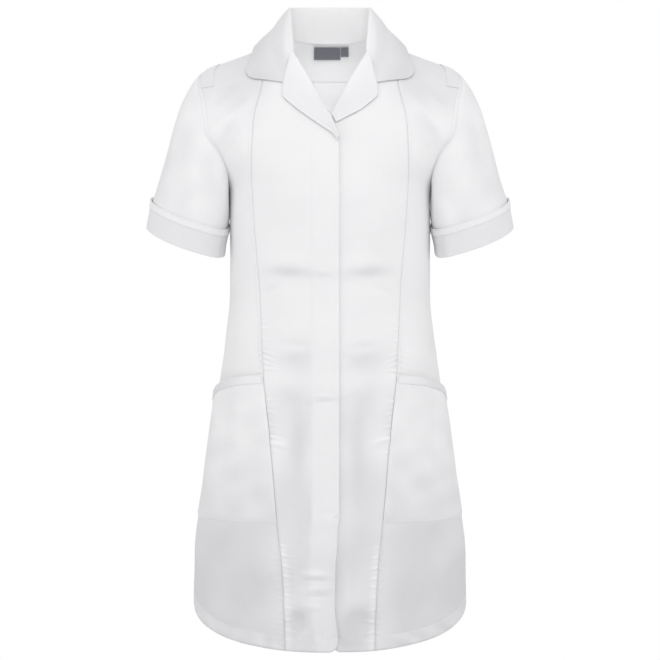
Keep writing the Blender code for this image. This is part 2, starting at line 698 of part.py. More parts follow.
def pocket_gape(share, depth_share):
    """How far the pocket stands off the side front: widest at the mouth, nearly flat at the bottom."""
    middle = np.sin(math.pi * np.clip(share, 0, 1)) ** 0.8
    at_mouth = (1 - depth_share) ** 2.0
    gape = (POCKET_MOUTH_GAPE * at_mouth + POCKET_BELLY) * middle
    return gape + POCKET_SIDE_GAPE * share**4 * (1 - depth_share) ** 3


def pocket_grid(levels):
    """Angles, drops and standing-off of a pocket at levels from 0 at its mouth to 1 at its bottom."""
    share = crowded_shares()
    level = np.asarray(levels)[:, None]
    mouth = pocket_mouth(share)
    drop = mouth + (POCKET_BOTTOM_DROP - mouth) * level
    princess = angle_at(smooth(drop, PRINCESS, 1), drop)
    princess = princess + SEAM_GAP / 2 / arc_rate(princess, drop)
    side = math.pi / 2 - SEAM_GAP / 2 / arc_rate(np.full_like(drop, math.pi / 2), drop)
    angle = princess * (1 - share) + side * share
    return angle, drop, pocket_gape(share + 0 * level, level + 0 * share)


def make_pockets(cloth, trim):
    """Hip pockets caught in the princess and side seams, each with a band along its mouth."""
    for side, name in ((-1, "right"), (1, "left")):
        levels = np.linspace(0.0, 1.0, POCKET_STEPS + 1) ** POCKET_CROWDING
        angle, drop, gape = pocket_grid(levels)
        middle = CLOTH / 2 + LAY_GAP + CLOTH / 2
        outer, inner = cloth_sides(angle, drop, middle + gape, CLOTH, side)
        add_wall("pocket_" + name, outer, inner, cloth)
        depth = POCKET_BOTTOM_DROP - POCKET_MOUTH_DROP
        band = np.array((-POCKET_TRIM_ABOVE, POCKET_TRIM_HEIGHT / 2, POCKET_TRIM_HEIGHT))
        angle, drop, gape = pocket_grid(band / depth)
        lift = middle + CLOTH / 2 + LAY_GAP + TRIM / 2 + gape
        outer, inner = cloth_sides(angle, drop, lift, TRIM, side)
        add_wall("pocket_trim_" + name, outer, inner, trim)


def sample_grids(pair, row, columns):
    """The angles and drops of a panel at one fractional row and several fractional columns."""
    first = int(row)
    sampled = []
    for grid in pair:
        across = grid[first] * (first + 1 - row) + grid[first + 1] * (row - first)
        sampled.append(np.interp(columns, np.arange(len(across)), across))
    return sampled


def make_shoulder_loops(trim):
    """A flat strap over each shoulder seam beside the armhole, made from the side front's and back's points."""
    front = front_side_grid()
    back = back_grid()
    front_rows = [sample_grids(front, row, LOOP_FRONT_COLUMNS) for row in LOOP_ROWS[::-1]]
    back_rows = [sample_grids(back, row, LOOP_BACK_COLUMNS) for row in LOOP_ROWS[1:]]
    angle, drop = np.stack(front_rows + back_rows, axis=1)
    share = np.linspace(0.0, 1.0, len(drop))[:, None] + 0 * drop
    lift = CLOTH / 2 + LAY_GAP + TRIM / 2 + LOOP_RISE * np.sin(math.pi * share) ** 1.5
    for side, name in ((-1, "right"), (1, "left")):
        outer, inner = cloth_sides(angle, drop, lift, TRIM, side)
        add_wall("shoulder_loop_" + name, outer, inner, trim)


def rest_on_figure(points, clearance):
    """Points drawn out in front or behind until they lie clear of the tunic's body below them."""
    drop = np.clip(-points[..., 2], 0.0, None)
    share = np.clip(points[..., 0] / smooth(drop, BODY, 1), -1.0, 1.0)
    facing = np.sqrt(1 - share**2)
    column = np.where(points[..., 1] < 0, smooth(drop, BODY, 2), smooth(drop, BODY, 3))
    needed = column * facing + clearance / np.maximum(facing, STEEPEST_FACING)
    beside = (points[..., 2] < 0) & (facing > LEAST_FACING)
    depth = np.where(beside, np.maximum(np.abs(points[..., 1]), needed), np.abs(points[..., 1]))
    rested = points.copy()
    rested[..., 1] = np.where(points[..., 1] < 0, -depth, depth)
    return rested


def make_collar(cloth):
    """The collar in one piece: stand up to the fold, then the fall over neck seam and shoulders."""
    place = np.linspace(0.0, 1.0, COLLAR_HALF_COLUMNS + 1) ** COLLAR_CROWDING
    seam, fold, middle, edge = (
        np.stack([smooth(place, COLLAR, first + k) for k in range(3)], axis=-1) for first in (1, 4, 7, 10)
    )
    up = np.array((0.0, 0.0, 1.0))
    out = unit((edge - seam) * np.array((1.0, 1.0, 0.0)))
    inner_fold = fold - out * COLLAR_ROLL_INSIDE[0] - up * COLLAR_ROLL_INSIDE[1]
    outer_fold = fold + out * COLLAR_ROLL_OUTSIDE[0] - up * COLLAR_ROLL_OUTSIDE[1]
    upper = (outer_fold + middle) / 2 + out * COLLAR_FULLNESS
    lower = (middle + edge) / 2 + out * COLLAR_FULLNESS / 2
    upper, middle, lower, edge = (rest_on_figure(part, COLLAR_CLEARANCE) for part in (upper, middle, lower, edge))
    stand = (seam + inner_fold) / 2
    rows = np.stack([seam, stand, inner_fold, fold, outer_fold, upper, middle, lower, edge])
    half = [mirrored(rows, side) for side in (-1, 1)]
    rows = both_halves(half[0], half[1])
    normal = unit(np.cross(np.gradient(rows, axis=0), np.gradient(rows, axis=1)))
    add_wall("collar", rows + normal * COLLAR_WALL / 2, rows - normal * COLLAR_WALL / 2, cloth)


def make_revers(cloth):
    """The two turned-back fronts, each from its roll line to its point and down to the break."""
    for side, name, table in ((-1, "right", REVERS_TOP), (1, "left", REVERS_UNDER)):
        place = np.linspace(0.0, 1.0, REVERS_COLUMNS + 1)
        roll_drop = smooth(place, table, 1)
        roll = np.stack([front_edge(roll_drop, top=side < 0), roll_drop], axis=-1)
        edge = np.stack([smooth(place, table, 2), smooth(place, table, 3)], axis=-1)
        out = unit(edge - roll)
        rows = []
        for step, share, height in REVERS_SECTION:
            flat = roll + out * step + (edge - roll) * share
            rows.append((flat[:, 0], flat[:, 1], height + 0 * flat[:, 0]))
        out_at, drop, lift = (np.stack([row[k] for row in rows]) for k in range(3))
        angle = angle_at(out_at, drop)
        sunk = front_lift(angle, drop, top=side < 0)
        middle = cloth_points(angle, drop, lift + sunk, side)
        normal = unit(np.cross(np.gradient(middle, axis=0), np.gradient(middle, axis=1)))
        add_wall("revers_" + name, middle + normal * CLOTH / 2, middle - normal * CLOTH / 2, cloth)


def make_fly_and_zip(cloth, tape, coil):
    """The facing behind the top front's edge, and the plain closed zip that it hides."""
    angle, drop = front_centre_grid(top=True)
    first_row = np.searchsorted(drop[:, -1], FLY_TOP_DROP)
    angle = angle[first_row:, -FLY_COLUMNS - 1:]
    drop = drop[first_row:, -FLY_COLUMNS - 1:]
    lift = -(CLOTH / 2 + LAY_GAP + TRIM / 2)
    outer, inner = cloth_sides(angle, drop, lift, TRIM, -1)
    add_wall("fly_facing", outer, inner, cloth)
    chain_top = ZIP_TOP_DROP + ZIP_CHAIN_BELOW_TOP
    drop = np.concatenate([[ZIP_TOP_DROP], np.linspace(chain_top, ZIP_BOTTOM_DROP, ZIP_ROWS)])[:, None]
    tape_lift = -(UNDERLAP_SINK + CLOTH / 2 + ZIP_CLEARANCE + ZIP_TAPE / 2)
    zip_strip("zip_tape", drop, ZIP_TAPE_HALF_WIDTH, tape_lift, ZIP_TAPE, tape)
    tape_face = tape_lift + ZIP_TAPE / 2
    chain_lift = tape_face + ZIP_CHAIN_GAP + ZIP_CHAIN_HEIGHT / 2
    zip_strip("zip_chain", drop[1:], ZIP_CHAIN_HALF_WIDTH, chain_lift, ZIP_CHAIN_HEIGHT, coil)
    make_zip_slider(tape_face, chain_top, coil)


def zip_strip(name, drop, half_width, lift, thickness, material):
    """A strip of the zip down the front, lift metres out from the figure."""
    place, drop = np.broadcast_arrays(ZIP_MIDDLE + half_width * np.array(((-1.0, 0.0, 1.0),)), drop)
    outer, inner = cloth_sides(angle_at(place, drop), drop, lift, thickness, 1)
    add_wall(name, outer, inner, material)


def make_zip_slider(tape_face, chain_top, material):
    """The slider above the closed chain, a small block along the slope of the front."""
    drop = chain_top - LAY_GAP - ZIP_SLIDER_HEIGHT * np.array(((1.0,), (0.0,)))
    half = ZIP_SLIDER_WIDTH / 2 * np.array(((-1.0, 1.0),))
    place, drop = np.broadcast_arrays(ZIP_MIDDLE + half, drop)
    lift = tape_face + LAY_GAP + ZIP_SLIDER_THICKNESS / 2
    outer, inner = cloth_sides(angle_at(place, drop), drop, lift, ZIP_SLIDER_THICKNESS, 1)
    add_wall("zip_slider", outer, inner, material)


def clear_scene():
    """Starts from an empty scene."""
    for item in list(bpy.data.objects):
        bpy.data.objects.remove(item, do_unlink=True)


clear_scene()
collection = bpy.data.collections.new("maternity_tunic")
bpy.context.scene.collection.children.link(collection)
origin = bpy.data.objects.new("tunic_origin", None)
collection.objects.link(origin)

white_cloth = plain_material("white poly-cotton", (0.80, 0.81, 0.84), 0.85)
white_trim = plain_material("white trim", (0.84, 0.85, 0.88), 0.75)
grey_weave = plain_material("grey woven label", (0.20, 0.21, 0.24), 0.80)
tape_weave = plain_material("white zip tape", (0.78, 0.79, 0.82), 0.70)
white_coil = plain_material("white zip coil", (0.75, 0.76, 0.80), 0.45)

make_fronts(white_cloth)
make_back(white_cloth)
make_back_neck_facing(white_cloth)
label_wall("neck_label", LABEL_CENTRE, LABEL_WIDTH, LABEL_HEIGHT, grey_weave)
tab_centre = LABEL_CENTRE + LABEL_WIDTH / 2 + SEAM_GAP + TAB_WIDTH / 2
label_wall("size_tab", tab_centre, TAB_WIDTH, TAB_HEIGHT, grey_weave)
make_sleeves(white_cloth, white_trim)
make_pockets(white_cloth, white_trim)
make_shoulder_loops(white_trim)
make_collar(white_cloth)
make_revers(white_cloth)
make_fly_and_zip(white_cloth, tape_weave, white_coil)
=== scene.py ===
"""Maternity tunic: the look of every cut and sewn piece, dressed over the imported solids.

Metres, +Z up. The front faces -Y and the wearer's left is at +X. The origin is on the middle plane,
level with the point where the shoulder seam meets the collar. Heights are a drop below it.
A side of +1 is the wearer's left and -1 the wearer's right.
"""

import math
from types import SimpleNamespace

import bpy
import numpy as np
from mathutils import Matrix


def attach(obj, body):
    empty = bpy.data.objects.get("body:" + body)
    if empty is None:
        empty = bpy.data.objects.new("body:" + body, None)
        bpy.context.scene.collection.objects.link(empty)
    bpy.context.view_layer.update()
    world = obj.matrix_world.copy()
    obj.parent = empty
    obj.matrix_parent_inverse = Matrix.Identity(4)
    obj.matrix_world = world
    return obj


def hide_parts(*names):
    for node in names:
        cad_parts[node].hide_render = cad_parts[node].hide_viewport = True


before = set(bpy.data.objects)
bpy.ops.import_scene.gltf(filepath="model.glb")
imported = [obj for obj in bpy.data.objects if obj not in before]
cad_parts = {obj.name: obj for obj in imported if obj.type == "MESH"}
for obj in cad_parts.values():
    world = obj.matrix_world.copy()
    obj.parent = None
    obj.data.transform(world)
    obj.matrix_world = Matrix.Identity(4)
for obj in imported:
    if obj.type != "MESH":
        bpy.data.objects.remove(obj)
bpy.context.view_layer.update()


# Camera
# It looks level at the tunic from straight in front, at the height of the waist, from 3.2 m away.
CAMERA_DISTANCE = 3.2
CAMERA_HEIGHT = -0.438
PICTURE_WIDTH = 0.99
SENSOR_WIDTH = 36.0

camera_lens = bpy.data.cameras.new("photo_camera")
camera_lens.sensor_fit = "HORIZONTAL"
camera_lens.sensor_width = SENSOR_WIDTH
camera_lens.lens = SENSOR_WIDTH * CAMERA_DISTANCE / PICTURE_WIDTH
camera = bpy.data.objects.new("photo_camera", camera_lens)
camera.location = (0.0, -CAMERA_DISTANCE, CAMERA_HEIGHT)
camera.rotation_euler = (math.radians(90), 0.0, 0.0)
bpy.context.scene.collection.objects.link(camera)
bpy.context.scene.camera = camera


# Centre fronts
# Two panels of white poly-cotton drill from the princess seams to the front edges, right over left.
# The fly facing doubles the right one beside its edge, and both have a 2 cm hem and gathered seams.
CLOTH = 0.0011
SEAM_VALLEY = 0.0006
SEAM_VALLEY_WIDTH = 0.0013
HEM_DEPTH = 0.020
CENTRE_COLUMNS = 46
YOKE_ROWS = 80
SKIRT_ROWS = 150
GATHERED_ROWS = 360
GATHERED_LEVELS = ((0.405, 0.508), (0.532, 0.622), (0.742, 0.890))
GATHERED_DENSITY = 3.0

BODY = np.array([
    # drop, half width, front depth, back depth
    (0.000, 0.0580, 0.0300, 0.0620),
    (0.026, 0.1240, 0.0460, 0.0780),
    (0.052, 0.1900, 0.0580, 0.0880),
    (0.075, 0.2180, 0.0665, 0.0960),
    (0.100, 0.2330, 0.0755, 0.1020),
    (0.120, 0.2405, 0.0830, 0.1050),
    (0.1385, 0.2410, 0.0900, 0.1070),
    (0.155, 0.2300, 0.0960, 0.1080),
    (0.175, 0.2010, 0.1030, 0.1080),
    (0.195, 0.1765, 0.1090, 0.1070),
    (0.210, 0.1610, 0.1130, 0.1065),
    (0.225, 0.1520, 0.1165, 0.1055),
    (0.245, 0.1495, 0.1205, 0.1040),
    (0.320, 0.1492, 0.1235, 0.0960),
    (0.393, 0.1497, 0.1275, 0.0900),
    (0.441, 0.1547, 0.1360, 0.0930),
    (0.489, 0.1608, 0.1430, 0.1000),
    (0.540, 0.1690, 0.1475, 0.1080),
    (0.573, 0.1750, 0.1490, 0.1130),
    (0.621, 0.1825, 0.1500, 0.1180),
    (0.669, 0.1893, 0.1495, 0.1210),
    (0.7175, 0.1970, 0.1485, 0.1230),
    (0.766, 0.2022, 0.1465, 0.1240),
    (0.850, 0.2035, 0.1440, 0.1250),
    (0.940, 0.2060, 0.1420, 0.1260),
])
PRINCESS = np.array([
    # drop, distance out from the centre line
    (0.0144, 0.0950),
    (0.076, 0.1000),
    (0.130, 0.1125),
    (0.204, 0.1150),
    (0.285, 0.1110),
    (0.350, 0.1045),
    (0.438, 0.0995),
    (0.500, 0.0965),
    (0.597, 0.0865),
    (0.7185, 0.0760),
    (0.790, 0.0685),
    (0.940, 0.0630),
])
TOP_FRONT_EDGE = -0.0132
UNDER_FRONT_EDGE = 0.0025
ROLL_LINE = np.array([
    # drop, distance out from the centre line, down the roll of the revers and then the front edge
    (0.000, 0.0580),
    (0.023, 0.0575),
    (0.0425, 0.0487),
    (0.063, 0.0368),
    (0.0905, 0.0220),
    (0.113, 0.0102),
    (0.128, 0.0010),
    (0.146, -0.0070),
    (0.163, -0.0125),
    (0.180, TOP_FRONT_EDGE),
    (0.250, TOP_FRONT_EDGE),
    (0.712, TOP_FRONT_EDGE),
    (0.722, -0.0110),
    (0.752, -0.0104),
    (0.775, -0.0082),
    (0.850, -0.0072),
    (0.885, -0.0108),
    (0.940, -0.0128),
])
UNDERLAP_SINK = 0.0044
UNDERLAP_RISE = 0.0014
UNDERLAP_FROM = 0.014
LEVEL_AT = 0.055
ARMHOLE_MIDDLE_DROP = 0.1385
ARMHOLE_HALF_HEIGHT = 0.0865
ARMHOLE_BITE = 0.64
UNDERARM_DROP = ARMHOLE_MIDDLE_DROP + ARMHOLE_HALF_HEIGHT
HEM_CENTRE = 0.9005
HEM_RISE = 0.0575
HEM_CURVE = 1.2
HEM_BEND_FROM = 0.700
VENT_TOP = 0.765
VENT_OPENING = 0.0016
VENT_CORNER = 0.012
FRONT_CORNER = 0.014

FRONT_FOLDS = np.array([
    # side of centre, drop, half length, half width (m), lean (degrees), height (m)
    (-0.050, 0.345, 0.045, 0.0130, 4, 0.0028),
    (0.052, 0.345, 0.045, 0.0130, -4, 0.0028),
    (-0.052, 0.372, 0.042, 0.0120, -6, -0.0022),
    (0.054, 0.372, 0.042, 0.0120, 6, -0.0022),
    (-0.045, 0.520, 0.055, 0.0150, 5, 0.0024),
    (0.046, 0.518, 0.050, 0.0150, -5, 0.0024),
    (-0.045, 0.640, 0.0160, 0.120, 0, -0.0040),
    (0.045, 0.650, 0.0160, 0.120, 0, -0.0040),
    (-0.105, 0.800, 0.0200, 0.110, 0, -0.0040),
    (0.108, 0.800, 0.0200, 0.110, 0, -0.0040),
])
FRONT_CREASES = np.array([
    # side of centre, drop, half length, half width (m), lean (degrees), height (m)
    (-0.060, 0.357, 0.026, 0.0075, 2, -0.0022),
    (0.056, 0.357, 0.026, 0.0075, -2, -0.0022),
    (-0.088, 0.380, 0.012, 0.0040, -28, -0.0012),
    (0.084, 0.382, 0.012, 0.0040, 28, -0.0012),
    (-0.010, 0.354, 0.012, 0.0028, 12, 0.0015),
    (-0.013, 0.361, 0.010, 0.0026, -16, -0.0015),
    (-0.004, 0.367, 0.007, 0.0024, 30, 0.0010),
    (-0.050, 0.458, 0.022, 0.0060, 3, -0.0017),
    (0.047, 0.461, 0.022, 0.0060, -3, -0.0017),
    (-0.050, 0.478, 0.028, 0.0090, -4, -0.0024),
    (0.050, 0.480, 0.028, 0.0090, 4, -0.0024),
    (-0.008, 0.541, 0.014, 0.0035, -6, -0.0019),
    (-0.010, 0.533, 0.012, 0.0035, 4, 0.0012),
    (-0.047, 0.600, 0.0115, 0.0450, 0, -0.0028),
    (0.042, 0.608, 0.0115, 0.0480, 0, -0.0028),
    (-0.075, 0.602, 0.013, 0.0050, 10, 0.0024),
    (0.075, 0.598, 0.013, 0.0050, -12, 0.0024),
    (-0.006, 0.700, 0.014, 0.0060, 0, -0.0014),
    (-0.020, 0.788, 0.016, 0.0042, 2, 0.0024),
    (-0.020, 0.797, 0.017, 0.0032, 2, -0.0019),
    (-0.018, 0.809, 0.018, 0.0045, -3, 0.0026),
    (-0.018, 0.820, 0.018, 0.0035, -2, -0.0020),
    (-0.026, 0.835, 0.013, 0.0048, 4, 0.0022),
    (-0.045, 0.856, 0.014, 0.0160, 10, -0.0044),
    (0.047, 0.858, 0.016, 0.0160, -10, -0.0044),
    (0.024, 0.806, 0.006, 0.0300, 0, 0.0017),
    (-0.128, 0.470, 0.016, 0.0650, 6, 0.0027),
    (0.128, 0.470, 0.016, 0.0650, -6, 0.0027),
    (-0.136, 0.120, 0.030, 0.0090, -38, 0.0020),
    (0.140, 0.118, 0.030, 0.0090, 38, 0.0020),
    (-0.150, 0.090, 0.026, 0.0080, -30, -0.0015),
    (0.154, 0.092, 0.026, 0.0080, 30, -0.0015),
    (-0.165, 0.148, 0.018, 0.0070, -55, 0.0020),
    (0.166, 0.150, 0.018, 0.0070, 55, 0.0020),
    (-0.158, 0.074, 0.016, 0.0036, -24, 0.0011),
    (-0.166, 0.104, 0.015, 0.0036, -36, -0.0010),
    (-0.149, 0.128, 0.018, 0.0040, -48, 0.0012),
    (-0.140, 0.160, 0.020, 0.0045, -58, -0.0010),
    (-0.128, 0.178, 0.018, 0.0040, -62, 0.0010),
    (0.160, 0.070, 0.015, 0.0036, 22, 0.0011),
    (0.164, 0.100, 0.016, 0.0036, 40, -0.0010),
    (0.152, 0.132, 0.018, 0.0040, 50, 0.0012),
    (0.138, 0.163, 0.020, 0.0045, 56, -0.0010),
    (0.127, 0.182, 0.018, 0.0040, 64, 0.0010),
])
BACK_FOLDS = np.array([
    # side of centre, drop, half length, half width (m), lean (degrees), height (m)
    (-0.070, 0.420, 0.060, 0.0160, 12, -0.0035),
    (0.066, 0.432, 0.060, 0.0160, -10, -0.0035),
    (0.000, 0.380, 0.070, 0.0160, 0, 0.0025),
    (-0.080, 0.760, 0.0240, 0.130, 0, 0.0060),
    (0.084, 0.740, 0.0240, 0.130, 0, 0.0060),
    (0.004, 0.770, 0.0280, 0.120, 0, -0.0050),
])
BACK_CREASES = np.array([
    # side of centre, drop, half length, half width (m), lean (degrees), height (m)
    (-0.098, 0.392, 0.030, 0.0060, 18, 0.0021),
    (0.094, 0.401, 0.030, 0.0060, -16, 0.0021),
    (-0.060, 0.452, 0.034, 0.0060, 8, 0.0023),
    (0.058, 0.446, 0.032, 0.0060, -9, 0.0023),
    (-0.020, 0.405, 0.034, 0.0055, -4, -0.0018),
    (0.030, 0.362, 0.030, 0.0055, 5, -0.0017),
    (-0.034, 0.480, 0.026, 0.0060, 4, -0.0015),
    (0.110, 0.480, 0.020, 0.0060, -20, 0.0017),
    (-0.118, 0.478, 0.020, 0.0060, 22, 0.0017),
    (-0.125, 0.150, 0.032, 0.0080, 48, 0.0021),
    (0.128, 0.152, 0.032, 0.0080, -46, 0.0021),
    (-0.100, 0.200, 0.034, 0.0080, 40, -0.0017),
    (0.104, 0.205, 0.034, 0.0080, -42, -0.0017),
    (-0.040, 0.640, 0.008, 0.0700, 4, 0.0021),
    (0.046, 0.660, 0.008, 0.0700, -4, 0.0021),
])
# Patches of painted shade and painted highlight on the front, where its folds and creases fall.
PAINTED_SHADE_PATCHES = np.array([
    # side of centre, drop, half length, half width (m), lean (degrees), painted highlight (above 0) and
    # shade (below 0)
    (-0.059, 0.3530, 0.028, 0.0075, 2, -0.36),
    (0.058, 0.3530, 0.027, 0.0075, -2, -0.36),
    (-0.010, 0.3600, 0.013, 0.0045, 10, -0.35),
    (-0.050, 0.4840, 0.022, 0.0090, 0, -0.25),
    (0.042, 0.4870, 0.018, 0.0100, 0, -0.32),
    (-0.056, 0.5370, 0.018, 0.0160, 0, -0.30),
    (0.052, 0.5450, 0.018, 0.0240, 0, -0.32),
    (-0.012, 0.5420, 0.018, 0.0045, 0, -0.40),
    (-0.047, 0.6200, 0.013, 0.0750, 0, -0.20),
    (0.042, 0.6350, 0.013, 0.0700, 0, -0.20),
    (-0.075, 0.6100, 0.008, 0.0600, 0, 0.15),
    (0.075, 0.6100, 0.008, 0.0600, 0, 0.15),
    (-0.048, 0.8530, 0.012, 0.0150, 15, -0.60),
    (0.040, 0.8540, 0.020, 0.0160, -10, -0.60),
    (-0.014, 0.7350, 0.015, 0.0180, 0, 0.30),
    (-0.018, 0.7870, 0.018, 0.0120, 0, 0.35),
    (-0.024, 0.8160, 0.014, 0.0080, 0, 0.30),
    (-0.148, 0.1450, 0.020, 0.0120, -50, -0.30),
    (0.148, 0.1450, 0.020, 0.0120, 50, -0.30),
    (-0.135, 0.1100, 0.030, 0.0100, -60, -0.20),
    (0.138, 0.1100, 0.030, 0.0100, 60, -0.20),
    (-0.120, 0.4930, 0.040, 0.0140, 18, 0.50),
    (0.120, 0.4930, 0.040, 0.0140, -18, 0.50),
    (0.034, 0.8850, 0.022, 0.0120, 0, -0.45),
])
PUCKERS = np.array([
    # drop, length in from the princess seam, height, half width, fall per metre in
    (0.4195, 0.0080, 0.0008, 0.0028, 0.05),
    (0.4370, 0.0090, 0.0010, 0.0030, -0.10),
    (0.4510, 0.0080, 0.0009, 0.0026, 0.20),
    (0.4690, 0.0120, 0.0015, 0.0027, 0.34),
    (0.4770, 0.0125, 0.0017, 0.0027, 0.36),
    (0.4850, 0.0110, 0.0014, 0.0026, 0.30),
    (0.4955, 0.0140, 0.0017, 0.0029, 0.02),
    (0.5400, 0.0110, 0.0013, 0.0031, -0.05),
    (0.5560, 0.0100, 0.0011, 0.0029, 0.20),
    (0.5750, 0.0100, 0.0012, 0.0031, 0.10),
    (0.5920, 0.0130, 0.0017, 0.0033, 0.20),
    (0.6120, 0.0090, 0.0009, 0.0031, 0.10),
    (0.6500, 0.0070, 0.0006, 0.0030, 0.10),
    (0.7050, 0.0070, 0.0007, 0.0030, 0.00),
    (0.7480, 0.0090, 0.0010, 0.0028, 0.20),
    (0.7620, 0.0110, 0.0015, 0.0030, 0.15),
    (0.7770, 0.0115, 0.0016, 0.0031, 0.25),
    (0.7920, 0.0100, 0.0014, 0.0030, 0.20),
    (0.8060, 0.0090, 0.0013, 0.0029, -0.10),
    (0.8200, 0.0090, 0.0011, 0.0030, 0.10),
    (0.8370, 0.0100, 0.0014, 0.0031, 0.20),
    (0.8560, 0.0110, 0.0016, 0.0032, -0.10),
    (0.8700, 0.0100, 0.0013, 0.0030, 0.15),
    (0.8840, 0.0080, 0.0010, 0.0029, 0.00),
])
# Painted highlight and shade: how much paler the cloth is drawn per metre that a crease or pucker stands
# out.
CREASE_PAINTED_LIGHT = 90.0
PUCKER_PAINTED_LIGHT = 220.0


def through(x, at, rows):
    """The cubic curve through all rows: its slope at each is the harmonic mean of both sides' slopes.

    It is level where they differ in sign, so the curve never swings past a row."""
    step = np.diff(at).reshape((-1,) + (1,) * (rows.ndim - 1))
    slope = np.diff(rows, axis=0) / step
    before, after = slope[:-1], slope[1:]
    same_way = before * after > 0
    mean = np.where(same_way, 2 * before * after / np.where(same_way, before + after, 1.0), 0.0)
    tangent = np.concatenate([slope[:1], mean, slope[-1:]])
    x = np.asarray(x, float)
    i = np.clip(np.searchsorted(at, x, side="right") - 1, 0, len(at) - 2)
    t = ((x - at[i]) / (at[i + 1] - at[i])).reshape(x.shape + (1,) * (rows.ndim - 1))
    start = (1 + 2 * t) * (1 - t) ** 2 * rows[i] + t * (1 - t) ** 2 * step[i] * tangent[i]
    return start + t * t * (3 - 2 * t) * rows[i + 1] + t * t * (t - 1) * step[i] * tangent[i + 1]


def smooth(x, table, column, blur):
    """A table's column at x: the curve through its rows, blurred by a bell curve of that width.

    Past both ends the line goes on straight while it is blurred."""
    at, values = table[:, 0], table[:, column]
    steps, reach = 8, 4
    grid = np.arange(at[0] - reach * blur, at[-1] + reach * blur, blur / steps)
    line = through(np.clip(grid, at[0], at[-1]), at, values)
    line += (values[1] - values[0]) / (at[1] - at[0]) * np.minimum(grid - at[0], 0)
    line += (values[-1] - values[-2]) / (at[-1] - at[-2]) * np.maximum(grid - at[-1], 0)
    weights = np.exp(-0.5 * (np.arange(-reach * steps, reach * steps + 1) / steps) ** 2)
    padded = np.pad(line, reach * steps, mode="reflect", reflect_type="odd")
    return np.interp(x, grid, np.convolve(padded, weights / weights.sum(), mode="valid"))


def ease(x, start, end):
    """0 before start, 1 after end, and a smooth rise between."""
    t = np.clip((np.asarray(x, float) - start) / (end - start), 0.0, 1.0)
    return t * t * (3 - 2 * t)


def half_width(drop):
    """Half of the figure's width at a drop."""
    return smooth(drop, BODY, 1, 0.004)


def depths(drop):
    """The figure's depth in front and behind at a drop."""
    return smooth(drop, BODY, 2, 0.008), smooth(drop, BODY, 3, 0.008)


def on_figure(angle, drop):
    """The figure's point at an angle from the centre front and a drop: a front and a back half ellipse."""
    front, back = depths(drop)
    depth = np.where(np.cos(angle) >= 0, front, back)
    return np.stack([half_width(drop) * np.sin(angle), -depth * np.cos(angle), -drop], axis=-1)


def unit(vectors):
    """Vectors made one metre long."""
    return vectors / np.maximum(np.linalg.norm(vectors, axis=-1, keepdims=True), 1e-12)


def outward(angle, drop):
    """The unit vector out of the figure: the cross product of its slopes down and round."""
    step = 1e-4
    round_it = on_figure(angle + step, drop) - on_figure(angle - step, drop)
    down_it = on_figure(angle, drop + step) - on_figure(angle, drop - step)
    return unit(np.cross(down_it, round_it))


def soft_folds(x, drop, table):
    """The height of a table of folds: each is an oval bump, the product of two bell curves."""
    height = np.zeros_like(x)
    for across, level, half_length, half_breadth, lean, rise in table:
        turn = math.radians(lean)
        along = (x - across) * math.cos(turn) + (drop - level) * math.sin(turn)
        aside = (drop - level) * math.cos(turn) - (x - across) * math.sin(turn)
        height += rise * np.exp(-((along / half_length) ** 2) - (aside / half_breadth) ** 2)
    return height


def unevenness(x, drop, seed, size, height):
    """Cloth that lies a little uneven: the mean of a dozen sine waves in random directions."""
    draw = np.random.default_rng(seed)
    total = np.zeros_like(x)
    for _ in range(12):
        turn, phase = draw.uniform(0, 2 * math.pi, 2)
        wave = 2 * math.pi / (size * draw.uniform(0.7, 1.5))
        total += np.sin(wave * (x * math.cos(turn) + drop * math.sin(turn)) + phase)
    return height * total / 12


def lie_of_cloth(place):
    """How far the cloth of the body lies off the figure: large folds, creases and unevenness."""
    x = place[..., 0]
    drop = -place[..., 2]
    in_front = place[..., 1] < 0
    large = np.where(in_front, soft_folds(x, drop, FRONT_FOLDS), soft_folds(x, drop, BACK_FOLDS))
    small = np.where(in_front, soft_folds(x, drop, FRONT_CREASES), soft_folds(x, drop, BACK_CREASES))
    wide = unevenness(x + 2 * in_front, drop, 3, 0.075, 0.0014)
    fine = unevenness(x + 2 * in_front, drop, 7, 0.024, 0.0004)
    lower = 0.35 + 0.65 * ease(drop, 0.25, 0.45)
    return large * ease(drop, 0.24, 0.32) + small + (wide + fine) * lower


def groove(distance, at, width, depth):
    """A soft line pressed into the cloth: a bell curve of that depth across its distance."""
    return -depth * np.exp(-(((distance - at) / width) ** 2))


def seam_valley(distance, depth=SEAM_VALLEY):
    """The hollow along a seam, where two pieces meet."""
    return groove(distance, 0.0, SEAM_VALLEY_WIDTH, depth)


def stitched_line(distance, at, width=0.0009):
    """The shallow line that a row of stitches presses into the cloth."""
    return groove(distance, at, width, 0.0003)


def band(distance, start, end, height, soft=0.0006):
    """A strip of doubled cloth that stands higher from start to end, with soft edges."""
    return height * (ease(distance, start - soft, start + soft) - ease(distance, end - soft, end + soft))


def puckers(distance, drop, reach, strength, shift):
    """Short creases that a gathered seam throws: ridges with a hollow on each side, fading inwards.

    Across each the height is (1 - 2aa) exp(-aa), and along it exp(-(d/length)^1.5)."""
    height = np.zeros_like(distance)
    for level, length, rise, half_breadth, fall in PUCKERS:
        a = (drop - level - shift - fall * distance) / half_breadth
        height += rise * (1 - 2 * a * a) * np.exp(-a * a) * np.exp(-((distance / (length * reach)) ** 1.5))
    return strength * height * ease(distance, 0.0002, 0.0022)


def angle_at(out, drop):
    """The angle round the front at a distance out from the centre line."""
    return np.arcsin(np.clip(out / half_width(drop), -1.0, 1.0))


def arc_rate(angle, drop):
    """Metres along the cloth for each radian of angle."""
    step = 1e-4
    moved = on_figure(angle + step, drop) - on_figure(angle - step, drop)
    return np.linalg.norm(moved, axis=-1) / (2 * step)


